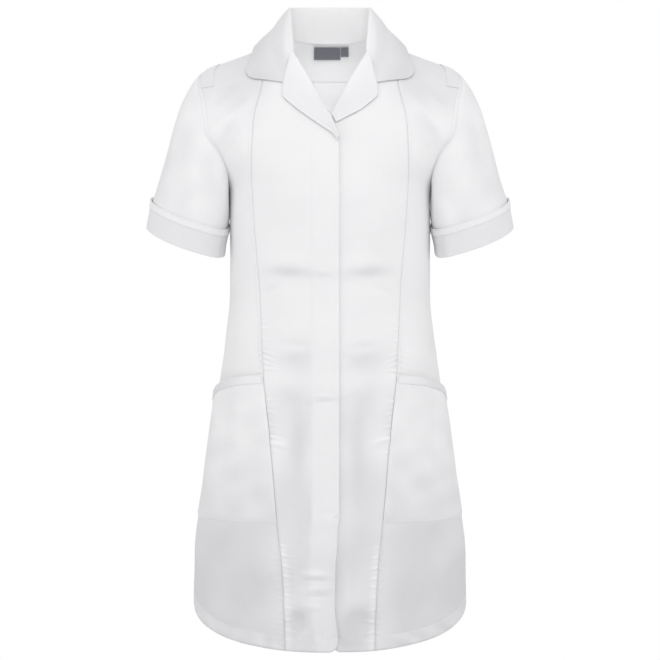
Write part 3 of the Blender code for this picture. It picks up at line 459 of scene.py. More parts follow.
def hem_and_corner(angle, drop, edge_distance, corner):
    """Lower rows drawn smoothly onto the hem, which rises to the sides, with a rounded corner."""
    level = HEM_CENTRE - HEM_RISE * (1 - np.abs(np.cos(angle))) ** HEM_CURVE
    inside = np.clip(corner - edge_distance, 0.0, corner)
    level = level - (corner - np.sqrt(corner**2 - inside**2))
    return drop + ease(drop, HEM_BEND_FROM, HEM_CENTRE) * (level - HEM_CENTRE)


def yoke_drops(k):
    """Drops at a share k of the way down to the underarm: at the armhole, princess seam and front edge."""
    armhole = ARMHOLE_MIDDLE_DROP - ARMHOLE_HALF_HEIGHT * np.cos(math.pi * k)
    return armhole, PRINCESS[0, 0] + (UNDERARM_DROP - PRINCESS[0, 0]) * k, UNDERARM_DROP * k


def panel_rows(gathered=True):
    """How far down to the underarm each yoke row is, and all rows' drops at the three lines above.

    On a gathered panel the rows lie closer where the seams pucker."""
    k = np.linspace(0.0, 1.0, YOKE_ROWS + 1)
    level = np.linspace(UNDERARM_DROP, HEM_CENTRE, 3000)
    density = 1.0 + 0 * level
    if gathered:
        for first, last in GATHERED_LEVELS:
            inside = ease(level, first - 0.01, first) * (1 - ease(level, last, last + 0.01))
            density += (GATHERED_DENSITY - 1) * inside
    share = np.cumsum(density) - density[0]
    rows = GATHERED_ROWS if gathered else SKIRT_ROWS
    skirt = np.interp(np.linspace(0.0, share[-1], rows + 1), share, level)[1:]
    armhole, _, _ = yoke_drops(k)
    _, princess, front = yoke_drops(k**1.5)
    return k, *(np.concatenate([part, skirt]) for part in (armhole, princess, front))


def shares(columns):
    """Shares from 0 to 1 across a piece, with extra columns at both edges for their roundness."""
    inner = np.linspace(0.0, 1.0, columns + 1)[1:-1]
    close = np.array((0.0, 0.04, 0.14, 0.34, 0.62)) / columns
    return np.concatenate([close, inner, 1 - close[::-1]])[None, :]


def between(first, last, share):
    """A grid from one column to another by the shares of its columns."""
    return first[:, None] * (1 - share) + last[:, None] * share


def princess_angle(drop):
    """The angle of the princess seam at a drop."""
    return angle_at(smooth(drop, PRINCESS, 1, 0.010), drop)


def panel_seam(drop):
    """The princess seam's angles down a panel's rows, the first on the crest of the shoulder."""
    angle = princess_angle(drop)
    angle[0] = math.pi / 2
    return angle


def roll_out(drop):
    """How far out the roll of the revers and then the front edge is at a drop."""
    return smooth(drop, ROLL_LINE, 1, 0.003)


def centre_grid(top):
    """Angles and drops of a centre front, from the princess seam to the front edge."""
    _, _, princess_drop, front_drop = panel_rows()
    out = roll_out(front_drop) if top else np.maximum(roll_out(front_drop), UNDER_FRONT_EDGE)
    edge = angle_at(out, front_drop)
    edge[0] = math.pi / 2
    angle = between(panel_seam(princess_drop), edge, shares(CENTRE_COLUMNS))
    drop = between(princess_drop, front_drop, shares(CENTRE_COLUMNS))
    edge_distance = (angle - edge[:, None]) * arc_rate(angle, drop)
    return angle, hem_and_corner(angle, drop, edge_distance, FRONT_CORNER)


def lengths(points):
    """Metres over a grid of points: across from its first column, and down from its first row."""
    across = np.linalg.norm(np.diff(points, axis=1, prepend=points[:, :1]), axis=-1)
    down = np.linalg.norm(np.diff(points, axis=0, prepend=points[:1]), axis=-1)
    return np.cumsum(across, axis=1), np.cumsum(down, axis=0)


def grid_normals(points, out, closed=False):
    """Unit normals of a grid: the cross product of its two slopes, turned to the side that out points to."""
    if closed:
        round_it = np.roll(points, -1, axis=1) - np.roll(points, 1, axis=1)
    else:
        round_it = np.gradient(points, axis=1)
    normal = unit(np.cross(round_it, np.gradient(points, axis=0)))
    return normal if (normal * out).sum() > 0 else -normal


def add_object(name, mesh, material, slot, *nodes):
    """Puts a finished mesh into the scene, on the body, in place of the nodes it stands for."""
    mesh.polygons.foreach_set("use_smooth", np.ones(len(mesh.polygons), bool))
    mesh.materials.append(material)
    piece = bpy.data.objects.new(name, mesh)
    bpy.context.scene.collection.objects.link(piece)
    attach(piece, "root")
    if nodes:
        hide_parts(*nodes)
    return piece


def cloth_piece(name, points, out, material, node, thickness=CLOTH, layers_and_painted_light=0.0, closed=False, slot="cloth"):
    """One cut piece: an outer and an inner skin half a thickness off the grid, joined round the edge.

    Near a free edge the half thickness falls as a quarter circle, so the edge is round like a fold.
    The UV map is in metres, and a float attribute holds the cloth's doubling and its painted light and
    shade."""
    normals = grid_normals(points, out, closed)
    rows, columns = points.shape[:2]
    index = np.arange(rows * columns).reshape(rows, columns)
    ring, ring_normals = points, normals
    if closed:
        index, ring, ring_normals = (np.concatenate([g, g[:, :1]], axis=1) for g in (index, points, normals))
    across, down = lengths(ring)
    edge = np.minimum(down, down[-1:] - down)
    if not closed:
        edge = np.minimum(edge, np.minimum(across, across[:, -1:] - across))
    roundness = np.sqrt(1 - (1 - np.clip(edge[:, :columns] / (thickness / 2), 0.0, 1.0)) ** 2)
    half = (thickness / 2 * np.maximum(roundness, 0.12))[..., None]
    uv = np.stack([across, down], axis=-1)

    def quads(grid):
        return np.stack([grid[:-1, :-1], grid[1:, :-1], grid[1:, 1:], grid[:-1, 1:]], axis=2)

    def rims(grid, under):
        sides = [(grid[0, 1:], under[0, 1:], under[0, :-1], grid[0, :-1]),
                 (grid[-1, :-1], under[-1, :-1], under[-1, 1:], grid[-1, 1:])]
        if not closed:
            sides.append((grid[:-1, 0], under[:-1, 0], under[1:, 0], grid[1:, 0]))
            sides.append((grid[1:, -1], under[1:, -1], under[:-1, -1], grid[:-1, -1]))
        return np.concatenate([np.stack(side, axis=1) for side in sides])

    skin = quads(index).reshape(-1, 4)
    faces = np.concatenate([skin, skin[:, ::-1] + rows * columns, rims(index, index + rows * columns)])
    uv_skin = quads(uv).reshape(-1, 4, 2)
    uv_faces = np.concatenate([uv_skin, uv_skin[:, ::-1], rims(uv, uv)])
    facing = np.cross(np.gradient(points, axis=0), np.gradient(points, axis=1))
    if (facing[1:-1, 1:-1] * normals[1:-1, 1:-1]).sum() < 0:
        faces, uv_faces = faces[:, ::-1], uv_faces[:, ::-1]
    mesh = bpy.data.meshes.new(name)
    skins = np.concatenate([(points + way * half * normals).reshape(-1, 3) for way in (1, -1)])
    mesh.from_pydata(skins.tolist(), [], faces.tolist())
    mesh.uv_layers.new(name="cloth").data.foreach_set("uv", uv_faces.reshape(-1).astype(np.float32))
    doubled_and_lit = np.tile(np.broadcast_to(layers_and_painted_light, (rows, columns)).reshape(-1), 2).astype(np.float32)
    mesh.attributes.new("layers_and_painted_light", "FLOAT", "POINT").data.foreach_set("value", doubled_and_lit)
    piece = add_object(name, mesh, material, slot, node)
    pieces[node] = SimpleNamespace(object=piece, points=ring, normals=ring_normals, across=across, down=down,
                                   half=thickness / 2)
    return pieces[node]


def set_sockets(tree, node, sockets):
    """Gives each named socket its number or colour, or links it where the value is another node's output."""
    for name, value in sockets.items():
        if isinstance(value, bpy.types.NodeSocket):
            tree.links.new(value, node.inputs[name])
        else:
            node.inputs[name].default_value = value


def add_node(tree, kind, sockets, **settings):
    """A new shader node of a kind, with its settings and then its sockets."""
    node = tree.nodes.new("ShaderNode" + kind)
    for name, value in settings.items():
        setattr(node, name, value)
    set_sockets(tree, node, sockets)
    return node


def new_group(name, inputs, outputs):
    """An empty shader node group, its sockets from outside and its sockets to outside."""
    group = bpy.data.node_groups.new(name, "ShaderNodeTree")
    for way, sockets in (("INPUT", inputs), ("OUTPUT", outputs)):
        for socket, kind in sockets.items():
            group.interface.new_socket(socket, in_out=way, socket_type="NodeSocket" + kind)
    return group, group.nodes.new("NodeGroupInput").outputs, group.nodes.new("NodeGroupOutput").inputs


def new_material(name, sockets):
    """A material whose Principled BSDF has these values, with its nodes' tree and that shader."""
    material = bpy.data.materials.new(name)
    material.use_nodes = True
    shader = material.node_tree.nodes["Principled BSDF"]
    set_sockets(material.node_tree, shader, sockets)
    return material, material.node_tree, shader


def weave_group():
    """A twill of fine threads: sine waves along the warp, along the weft and along the diagonal rib."""
    group, enter, leave = new_group("Twill weave", {"Thread map": "Vector", "Rib pitch": "Float"},
                                    {"Height": "Float"})

    def maths(operation, *terms):
        return add_node(group, "Math", dict(enumerate(terms)), operation=operation).outputs[0]

    split = add_node(group, "SeparateXYZ", {"Vector": enter["Thread map"]})
    turns = maths("DIVIDE", 2 * math.pi, enter["Rib pitch"])
    warp = maths("MULTIPLY", split.outputs["X"], turns)
    weft = maths("MULTIPLY", split.outputs["Y"], turns)
    rib = maths("SINE", maths("ADD", warp, maths("MULTIPLY", weft, 0.85)))
    warp_waves = maths("SINE", maths("MULTIPLY", warp, 2.0))
    weft_waves = maths("SINE", maths("MULTIPLY", weft, 2.0))
    threads = maths("MULTIPLY", warp_waves, weft_waves)
    height = maths("ADD", maths("MULTIPLY", rib, 0.35), maths("MULTIPLY", threads, 0.15))
    group.links.new(maths("ADD", height, 0.5), leave["Height"])
    return group


def unevenness_group():
    """Cloth's fine unevenness: a slow and a quick noise, as a shade of colour and as a height."""
    group, enter, leave = new_group("Cloth unevenness", {"Place": "Vector"},
                                    {"Shade": "Float", "Height": "Float"})
    slow, quick = (
        add_node(group, "TexNoise", {"Vector": enter["Place"], "Scale": scale, "Detail": detail}).outputs[0]
        for scale, detail in ((22.0, 3.0), (160.0, 2.0))
    )
    mix = add_node(group, "Mix", {"Factor": 0.35, "A": slow, "B": quick})
    group.links.new(slow, leave["Shade"])
    group.links.new(mix.outputs["Result"], leave["Height"])
    return group


def cloth_material(name, plain_and_shaded, doubled_and_lit, rib_pitch, weave_depth, uneven_depth, roughness=0.85, sheen=0.15):
    """Woven cloth: colour from plain to doubled by layers and painted light and shade, cloudiness, twill,
    bumps.
    """
    material, tree, shader = new_material(name, {
        "Roughness": roughness, "Sheen Weight": sheen, "Sheen Roughness": 0.5, "Specular IOR Level": 0.25})
    place = add_node(tree, "TexCoord", {}).outputs["Object"]
    thread_map = add_node(tree, "UVMap", {}, uv_map="cloth").outputs["UV"]
    layers_and_painted_light = add_node(tree, "Attribute", {}, attribute_name="layers_and_painted_light").outputs["Fac"]
    weave = add_node(tree, "Group", {"Thread map": thread_map, "Rib pitch": rib_pitch}, node_tree=weave_tree)
    uneven = add_node(tree, "Group", {"Place": place}, node_tree=uneven_tree)
    shade = add_node(tree, "MapRange", {"Value": uneven.outputs["Shade"], "To Min": 0.975, "To Max": 1.02})
    colour = add_node(tree, "Mix", {"Factor": layers_and_painted_light, "A": (*plain_and_shaded, 1.0), "B": (*doubled_and_lit, 1.0)},
                      data_type="RGBA")
    cloudy = add_node(tree, "Mix", {"Factor": 1.0, "A": colour.outputs["Result"],
                                    "B": shade.outputs["Result"]}, data_type="RGBA", blend_type="MULTIPLY")
    woven = add_node(tree, "Bump", {"Distance": weave_depth, "Height": weave.outputs["Height"]})
    bumpy = add_node(tree, "Bump", {"Distance": uneven_depth, "Height": uneven.outputs["Height"],
                                    "Normal": woven.outputs["Normal"]})
    set_sockets(tree, shader, {"Base Color": cloudy.outputs["Result"], "Normal": bumpy.outputs["Normal"]})
    return material


def line_down(piece, inset, start=0.0, end=0.0, lift=0.0):
    """Points and normals down a piece, lift metres above its outer face.

    The line is inset metres from its first column, or from its last where inset is below 0. It starts start
    metres from the top and ends end metres from the bottom."""
    rows, columns = piece.across.shape
    numbers = np.arange(columns)
    insets = [inset if inset >= 0 else line[-1] + inset for line in piece.across]
    column = np.array([np.interp(at, line, numbers) for at, line in zip(insets, piece.across)])
    length = np.maximum.accumulate([np.interp(at, numbers, line) for at, line in zip(column, piece.down)])
    row = np.interp(np.linspace(start, length[-1] - end, 4 * rows), length, np.arange(rows))
    column = np.interp(row, np.arange(rows), column)
    i = np.clip(np.floor(row).astype(int), 0, rows - 2)
    j = np.clip(np.floor(column).astype(int), 0, columns - 2)
    a, b = (row - i)[:, None], (column - j)[:, None]

    def mean(grid):
        return (1 - a) * ((1 - b) * grid[i, j] + b * grid[i, j + 1]) + a * (
            (1 - b) * grid[i + 1, j] + b * grid[i + 1, j + 1])

    normals = unit(mean(piece.normals))
    return mean(piece.points) + normals * (piece.half + lift), normals


def line_across(piece, inset, start=0.0, end=0.0, lift=0.0):
    """The same across a piece, inset metres from its first row, or from its last where inset is below 0."""
    turned = SimpleNamespace(points=piece.points.swapaxes(0, 1), normals=piece.normals.swapaxes(0, 1),
                             across=piece.down.T, down=piece.across.T, half=piece.half)
    return line_down(turned, inset, start, end, lift)


def walked(points):
    """Metres along a path to each of its points."""
    return np.concatenate([[0.0], np.cumsum(np.linalg.norm(np.diff(points, axis=0), axis=1))])


def at_lengths(places, gone, values):
    """A path's points or normals at places in metres along it."""
    return np.stack([np.interp(places, gone, values[:, k]) for k in range(3)], axis=1)


def sew(name, paths, pitch=0.0031, length=0.0024, width=0.00042, height=0.00034, across_path=False,
        material=None, slot="trim", nodes=()):
    """A row of stitches along each path: short four-sided rods with tapered ends, sunk into the cloth.

    A rod is four rings of four corners, and all rods are one mesh."""
    centres, runs, ups = [], [], []
    for points, normals in paths:
        gone = walked(points)
        count = max(int(gone[-1] / pitch), 1)
        at = (np.arange(count) + 0.5) * gone[-1] / count
        centres.append(at_lengths(at, gone, points))
        runs.append(at_lengths(at + 0.0004, gone, points) - at_lengths(at - 0.0004, gone, points))
        ups.append(at_lengths(at, gone, normals))
    centre, run, up = (np.concatenate(part) for part in (centres, runs, ups))
    run = unit(run)
    side = unit(np.cross(run, up))
    up = np.cross(side, run)
    if across_path:
        run, side = side, -run
    swell = np.array((0.35, 1.0, 1.0, 0.35))[:, None]
    corner = math.pi / 4 + math.pi / 2 * np.arange(4)
    ring_run = np.repeat(np.array((-0.5, -0.32, 0.32, 0.5)) * length, 4)
    ring_side = (swell * np.cos(corner) * width * 0.7).reshape(-1)
    ring_up = (swell * np.sin(corner) * height * 0.7 - (1 - swell) * height * 0.6).reshape(-1)
    points = centre[:, None]
    for ring, direction in ((ring_run, run), (ring_side, side), (ring_up, up)):
        points = points + ring[None, :, None] * direction[:, None]
    rod = [(first + j, first + 4 + j, first + 4 + (j + 1) % 4, first + (j + 1) % 4)
           for first in (0, 4, 8) for j in range(4)]
    rod += [(0, 1, 2, 3), (15, 14, 13, 12)]
    faces = (np.array(rod)[None] + 16 * np.arange(len(centre))[:, None, None]).reshape(-1, 4)
    mesh = bpy.data.meshes.new(name)
    mesh.from_pydata(points.reshape(-1, 3).tolist(), [], faces.tolist())
    return add_object(name, mesh, material or thread, slot, *nodes)


def thread_material():
    """White sewing thread: two plies that turn round each other, as a quick noise on its colour."""
    material, tree, shader = new_material("White sewing thread", {"Roughness": 0.55})
    place = add_node(tree, "TexCoord", {}).outputs["Object"]
    plies = add_node(tree, "TexNoise", {"Scale": 1800.0, "Vector": place})
    tone = add_node(tree, "Mix", {"Factor": plies.outputs["Fac"], "A": (0.74, 0.74, 0.77, 1.0),
                                  "B": (0.88, 0.88, 0.90, 1.0)}, data_type="RGBA")
    set_sockets(tree, shader, {"Base Color": tone.outputs["Result"]})
    return material


def hem_line(node):
    """The path of the stitching above a piece's hem."""
    return line_across(pieces[node], -HEM_DEPTH, 0.001, 0.001)


def side_of(vectors, side):
    """Vectors of the wearer's left, or their mirror image for the right."""
    return vectors * np.array((side, 1.0, 1.0))


def on_side(angle, drop, side):
    """The figure's points and the unit vectors out of it on one side."""
    return side_of(on_figure(angle, drop), side), side_of(outward(angle, drop), side)


def hem_relief(place, from_hem):
    """The turned-up hem's height: doubled cloth, the line of its stitching and small waves along it."""
    waves = unevenness(place[..., 0] + place[..., 1], -place[..., 2], 31, 0.014, 0.0009)
    lift = band(from_hem, -0.01, HEM_DEPTH, 0.00035) + stitched_line(from_hem, HEM_DEPTH, 0.0008)
    return lift + waves * np.exp(-(((from_hem - HEM_DEPTH) / 0.009) ** 2))


def hem_layers_and_painted_shade(place, from_hem):
    """The hem's uneven doubling on the turned-up part, with painted shade and highlight in front; 0 above
    it.
    """
    shows = 0.30 + unevenness(place[..., 0], place[..., 2], 61, 0.022, 0.50)
    shows = shows + soft_folds(place[..., 0], -place[..., 2], PAINTED_SHADE_PATCHES) * (place[..., 1] < 0)
    return shows * ease(from_hem, HEM_DEPTH + 0.001, HEM_DEPTH - 0.001)


def painted_backing_light(place):
    """Painted light and shade, as if white lay close behind the cloth: much on the chest and little below.

    It is painted greyer on the shoulders, fades down the free cloth, has painted shade and highlight on
    the folds, and is painted paler where the sleeve touches the side."""
    x, drop = place[..., 0], -place[..., 2]
    out = np.abs(x)
    wander = unevenness(x, drop, 43, 0.060, 0.030)
    shoulder = (1 - ease(drop + wander, 0.055, 0.150)) * ease(out, 0.075, 0.110)
    low = ease(drop + wander, 0.42, 0.58)
    free = 0.72 - 0.31 * ease(drop, 0.60, 0.75) - 0.41 * ease(out, 0.070, 0.125) * ease(drop, 0.60, 0.86)
    shade = (0.95 - 0.66 * shoulder) * (1 - low) + free * low
    # Painted shade and painted highlight on the folds and creases of the cloth.
    in_front = soft_folds(x, drop, PAINTED_SHADE_PATCHES) + CREASE_PAINTED_LIGHT * soft_folds(x, drop, FRONT_CREASES)
    behind = CREASE_PAINTED_LIGHT * soft_folds(x, drop, BACK_CREASES)
    folds = np.where(place[..., 1] < 0, in_front, behind)
    # Painted light where the sleeve lies against the side, against the shade there.
    by_sleeve = ease(out, 0.135, 0.150) * ease(drop, 0.16, 0.21) * (1 - ease(drop, 0.27, 0.31))
    blotches_and_sleeve_light = unevenness(x, drop, 47, 0.075, 0.45) * (0.25 + 0.75 * low) + 0.5 * by_sleeve
    return np.clip(shade + folds + blotches_and_sleeve_light, 0.0, 1.0)


def seam_shade(distance):
    """The grey of a seam's valley, where little light gets in: a bell curve across it."""
    return 0.40 * np.exp(-((distance / 0.0017) ** 2))


pieces = {}
SIDES = ((-1, "right"), (1, "left"))
weave_tree = weave_group()
uneven_tree = unevenness_group()
# Its plain tone stands for painted shade and its doubled tone for painted light, besides real doubling.
drill = cloth_material("White poly-cotton drill", plain_and_shaded=(0.680, 0.677, 0.693), doubled_and_lit=(0.865, 0.865, 0.868),
                       rib_pitch=0.0011, weave_depth=0.00010, uneven_depth=0.0006)
thread = thread_material()

FLY_WIDTH = 0.040
for side, name in SIDES:
    top = side < 0
    angle, drop = centre_grid(top)
    place, out = on_side(angle, drop, side)
    across, down = lengths(place)
    from_edge = across[:, -1:] - across
    from_hem = down[-1:] - down
    gathers = puckers(across, drop, 1.0, 1.0, 0.0015 * side)
    lift = lie_of_cloth(place) + hem_relief(place, from_hem) + gathers + seam_valley(across)
    # Painted light and shade: the cloth's tone follows the painted backing, besides the real doubling of the
    # hem.
    doubled_and_lit = np.maximum(hem_layers_and_painted_shade(place, from_hem), painted_backing_light(place))
    if top:
        below_break = ease(drop, 0.150, 0.170)
        fly_relief = band(from_edge, 0.0, FLY_WIDTH, 0.0003) + stitched_line(from_edge, FLY_WIDTH, 0.0008)
        lift += fly_relief * below_break
        fly = ease(from_edge, FLY_WIDTH + 0.004, FLY_WIDTH - 0.004) * below_break
        fly *= 1 - 0.5 * ease(drop, 0.70, 0.73)
        doubled_and_lit = doubled_and_lit + (0.95 - doubled_and_lit) * fly * (0.75 + 0.15 * ease(drop, 0.50, 0.60))
    else:
        under = 1 - ease(np.abs(place[..., 0]), UNDERLAP_FROM, LEVEL_AT)
        lift -= (UNDERLAP_SINK - UNDERLAP_RISE * ease(drop, 0.150, 0.190)) * under * ease(drop, 0.085, 0.120)
    # Painted highlight beside the lower princess seam and on the puckers' ridges, painted shade in their
    # hollows and in the seam's valley.
    painted_light_by_seam = 0.35 * ease(drop, 0.735, 0.760) * (1 - ease(across, 0.004, 0.014))
    doubled_and_lit = np.clip(doubled_and_lit + painted_light_by_seam + PUCKER_PAINTED_LIGHT * gathers - seam_shade(across), 0.0, 1.0)
    cloth_piece("centre_front_" + name, place + out * lift[..., None], out, drill, "front_centre_" + name,
                layers_and_painted_light=doubled_and_lit)
stitches = sew("stitches_centre_fronts", [
    line_down(pieces["front_centre_right"], -FLY_WIDTH, start=0.150, end=0.195),
    line_down(pieces["front_centre_right"], -0.0015, start=0.735, end=0.004),
    hem_line("front_centre_right"),
    hem_line("front_centre_left"),
])


# Side fronts
# Two panels of the same drill from the princess seams to the armholes and side seams, with a vent below.
# The seam allowances are pressed to this side and sewn down, which makes a welt beside the seam.
SIDE_COLUMNS = 44
WELT = 0.0060
ARMHOLE_STITCH = 0.0060
ARMHOLE_STITCH_END = 0.640
SIDE_SEAM_VALLEY = 0.0007
VENT_STITCH = 0.0030
VENT_STITCH_START = 0.800


def side_angle(k, drop):
    """The angle of the armhole's edge and then of the side seam, which opens into the vent."""
    armhole = np.arccos(ARMHOLE_BITE * np.abs(np.sin(math.pi * k)))
    angle = np.concatenate([armhole, np.full(len(drop) - len(k), math.pi / 2)])
    vent = VENT_OPENING * np.clip((drop - VENT_TOP) / (HEM_CENTRE - VENT_TOP), 0.0, 1.0)
    return angle - vent / arc_rate(angle, drop)


def beside_armhole(drop):
    """1 down to the underarm and 0 below it, with a soft step."""
    return 1 - ease(drop, UNDERARM_DROP - 0.004, UNDERARM_DROP + 0.004)


for side, name in SIDES:
    k, armhole_drop, princess_drop, _ = panel_rows()
    share = shares(SIDE_COLUMNS)
    angle = between(panel_seam(princess_drop), side_angle(k, armhole_drop), share)
    drop = between(princess_drop, armhole_drop, share)
    drop = hem_and_corner(angle, drop, (math.pi / 2 - angle) * arc_rate(angle, drop), VENT_CORNER)
    place, out = on_side(angle, drop, side)
    across, down = lengths(place)
    from_side = across[:, -1:] - across
    from_hem = down[-1:] - down
    lift = lie_of_cloth(place) + hem_relief(place, from_hem)
    welt_height = 0.0003 + 0.0005 * ease(drop, 0.36, 0.42) * (1 - ease(drop, 0.50, 0.56))
    lift += band(across, 0.0006, WELT - 0.0006, 1.0) * welt_height + stitched_line(across, WELT, 0.0008)
    gathers = puckers(across, drop, 0.7, 0.6, 0.003)
    lift += gathers + seam_valley(across)
    at_armhole = beside_armhole(drop)
    lift += stitched_line(from_side, ARMHOLE_STITCH) * at_armhole + seam_valley(from_side, SIDE_SEAM_VALLEY)
    # Painted light and shade as on the centre fronts, with a painted highlight on the armhole's ridge and
    # painted shade along the armhole seam, deepest low in it.
    doubled_and_lit = np.maximum(hem_layers_and_painted_shade(place, from_hem), painted_backing_light(place))
    doubled_and_lit += PUCKER_PAINTED_LIGHT * gathers - seam_shade(across)
    doubled_and_lit += at_armhole * (0.25 * band(from_side, 0.0014, 0.0046, 1.0) - 0.6 * seam_shade(from_side)
                             - 0.4 * seam_shade(from_side - ARMHOLE_STITCH))
    doubled_and_lit -= at_armhole * ease(drop, 0.140, 0.170) * 1.5 * seam_shade(from_side / 2.4)
    cloth_piece("side_front_" + name, place + out * lift[..., None], out, drill, "front_side_" + name,
                layers_and_painted_light=np.clip(doubled_and_lit, 0.0, 1.0))
stitches = sew("stitches_side_fronts", [
    line for _, name in SIDES for line in (
        line_down(pieces["front_side_" + name], WELT, 0.010, 0.002),
        line_down(pieces["front_side_" + name], -ARMHOLE_STITCH, 0.003, ARMHOLE_STITCH_END),
        hem_line("front_side_" + name),
        line_down(pieces["front_side_" + name], -VENT_STITCH, VENT_STITCH_START, 0.004),
    )
])


# Back
# One plain panel from side seam to side seam, of the same drill. From in front it shows inside the neck
# only, so its folds, hem and vents are like those of the front.
BACK_HALF_COLUMNS = 50
SHOULDER_TIP_DROP = 0.052
SHOULDER_SHARE = 0.45


def back_grid():
    """Angles and drops of half the back: rows from the shoulder and neck seams, columns to the centre."""
    k, armhole_drop, _, _ = panel_rows(gathered=False)
    share = shares(BACK_HALF_COLUMNS)
    centre_drop = np.concatenate([UNDERARM_DROP * k, armhole_drop[len(k):]])
    angle = between(math.pi - side_angle(k, armhole_drop), np.full(len(centre_drop), math.pi), share)
    drop = between(armhole_drop, centre_drop, share)
    neck_share = np.clip((share - SHOULDER_SHARE) / (1 - SHOULDER_SHARE), 0, 1)
    top_angle = math.pi / 2 * (1 + neck_share)
    top_drop = SHOULDER_TIP_DROP * (1 - np.clip(share / SHOULDER_SHARE, 0, 1))
    fade = np.concatenate([(1 - k) ** 3, np.zeros(len(centre_drop) - len(k))])[:, None]
    angle = angle + fade * (top_angle - angle[:1])
    drop = drop + fade * (top_drop - drop[:1])
    return angle, hem_and_corner(angle, drop, (angle - math.pi / 2) * arc_rate(angle, drop), VENT_CORNER)


def both_halves(angle, drop):
    """Points and outward vectors across the centre back, from the wearer's right to the left."""
    halves = zip(on_side(angle, drop, -1), on_side(angle, drop, 1))
    return (np.concatenate([right, left[:, -2::-1]], axis=1) for right, left in halves)


place, out = both_halves(*back_grid())
across, down = lengths(place)
from_side = np.minimum(across, across[:, -1:] - across)
from_hem = down[-1:] - down
lift = lie_of_cloth(place) + hem_relief(place, from_hem)
lift += stitched_line(from_side, ARMHOLE_STITCH) * beside_armhole(-place[..., 2])
lift += seam_valley(from_side, SIDE_SEAM_VALLEY)
# Painted light and shade as on the fronts, besides the real doubling of the hem.
back = cloth_piece("back_panel", place + out * lift[..., None], out, drill, "back",
                   layers_and_painted_light=np.maximum(hem_layers_and_painted_shade(place, from_hem), painted_backing_light(place)))
stitches = sew("stitches_back", [
    line_down(back, ARMHOLE_STITCH, 0.003, ARMHOLE_STITCH_END),
    line_down(back, -ARMHOLE_STITCH, 0.003, ARMHOLE_STITCH_END),
    hem_line("back"),
    line_down(back, VENT_STITCH, VENT_STITCH_START, 0.004),
    line_down(back, -VENT_STITCH, VENT_STITCH_START, 0.004),
])


# Sleeves
# Short set-in sleeves of the same drill, each a tube whose seam is under the arm. The cap rolls a little
# over the armhole seam, and the lower end runs on inside the cuff.
SLEEVE_COLUMNS = 144
SLEEVE_ROWS = 74
SLEEVE_LEAVE_TOP = np.array((0.74, 0.0, -0.67))
SLEEVE_LEAVE_MIDDLE = np.array((0.78, 0.0, -0.62))
SLEEVE_LEAVE_BOTTOM = np.array((0.04, 0.0, -1.0))
SLEEVE_SPREAD = 0.16
SLEEVE_PULL_START = 0.80
SLEEVE_PULL_END = 1.05
SLEEVE_TUCK = 0.0010
UNDERARM_CLEARANCE = 0.0009
CUFF_CENTRE = np.array((0.2104, 0.0, -0.2620))
CUFF_HALF_WIDTH = 0.0578
CUFF_HALF_DEPTH = 0.0560
CUFF_TILT = math.radians(19)
CUFF_LEAN = math.radians(8)
CUFF_FRONT_DIP = math.radians(14)
CUFF_HEIGHT = 0.0412
CUFF_ROWS = 25
CUFF_FLARE = 0.0018
INNER_REACH = 0.0024
INNER_SQUARENESS = 0.29
SLEEVE_FOLDS = np.array([
    # turn from the arm's top to the front, share down, half turn, half share, twist (degrees), height (m)
    (38, 0.62, 12, 0.34, 10, 0.0010),
    (64, 0.55, 10, 0.30, -6, -0.0009),
    (92, 0.66, 12, 0.30, 14, 0.0009),
    (118, 0.60, 10, 0.32, -8, -0.0007),
    (-32, 0.60, 11, 0.34, -8, 0.0010),
    (-62, 0.55, 11, 0.30, 8, -0.0010),
    (-95, 0.64, 12, 0.30, -12, 0.0010),
    (-122, 0.58, 10, 0.30, 6, -0.0007),
    (2, 0.70, 10, 0.30, 4, -0.0007),
])


def sleeve_ring(turn, down, offset):
    """An oval ring of the sleeve's lower end, down metres below the cuff's upper edge and offset out.

    Its inner half is squarer, because its cosine and sine are raised to a power below one, and its upper
    part reaches a little further in, where the sleeve touches the body."""
    across = np.array((math.cos(CUFF_TILT), 0.0, math.sin(CUFF_TILT)))
    front = np.array((0.0, -math.cos(CUFF_FRONT_DIP), -math.sin(CUFF_FRONT_DIP)))
    hang = np.array((math.sin(CUFF_LEAN), 0.0, -math.cos(CUFF_LEAN)))
    flare = CUFF_FLARE * down / CUFF_HEIGHT + offset
    reach = INNER_REACH * np.clip(-np.cos(turn), 0.0, 1.0) ** 4 * (1 - ease(down, 0.006, 0.034))
    power = 1 - INNER_SQUARENESS * ease(-np.cos(turn), -0.2, 0.6)
    wide = (CUFF_HALF_WIDTH + flare) * np.sign(np.cos(turn)) * np.abs(np.cos(turn)) ** power - reach
    deep = (CUFF_HALF_DEPTH + flare) * np.sign(np.sin(turn)) * np.abs(np.sin(turn)) ** power
    middle = CUFF_CENTRE + hang * np.asarray(down)[..., None]
    return middle + across * wide[..., None] + front * deep[..., None]


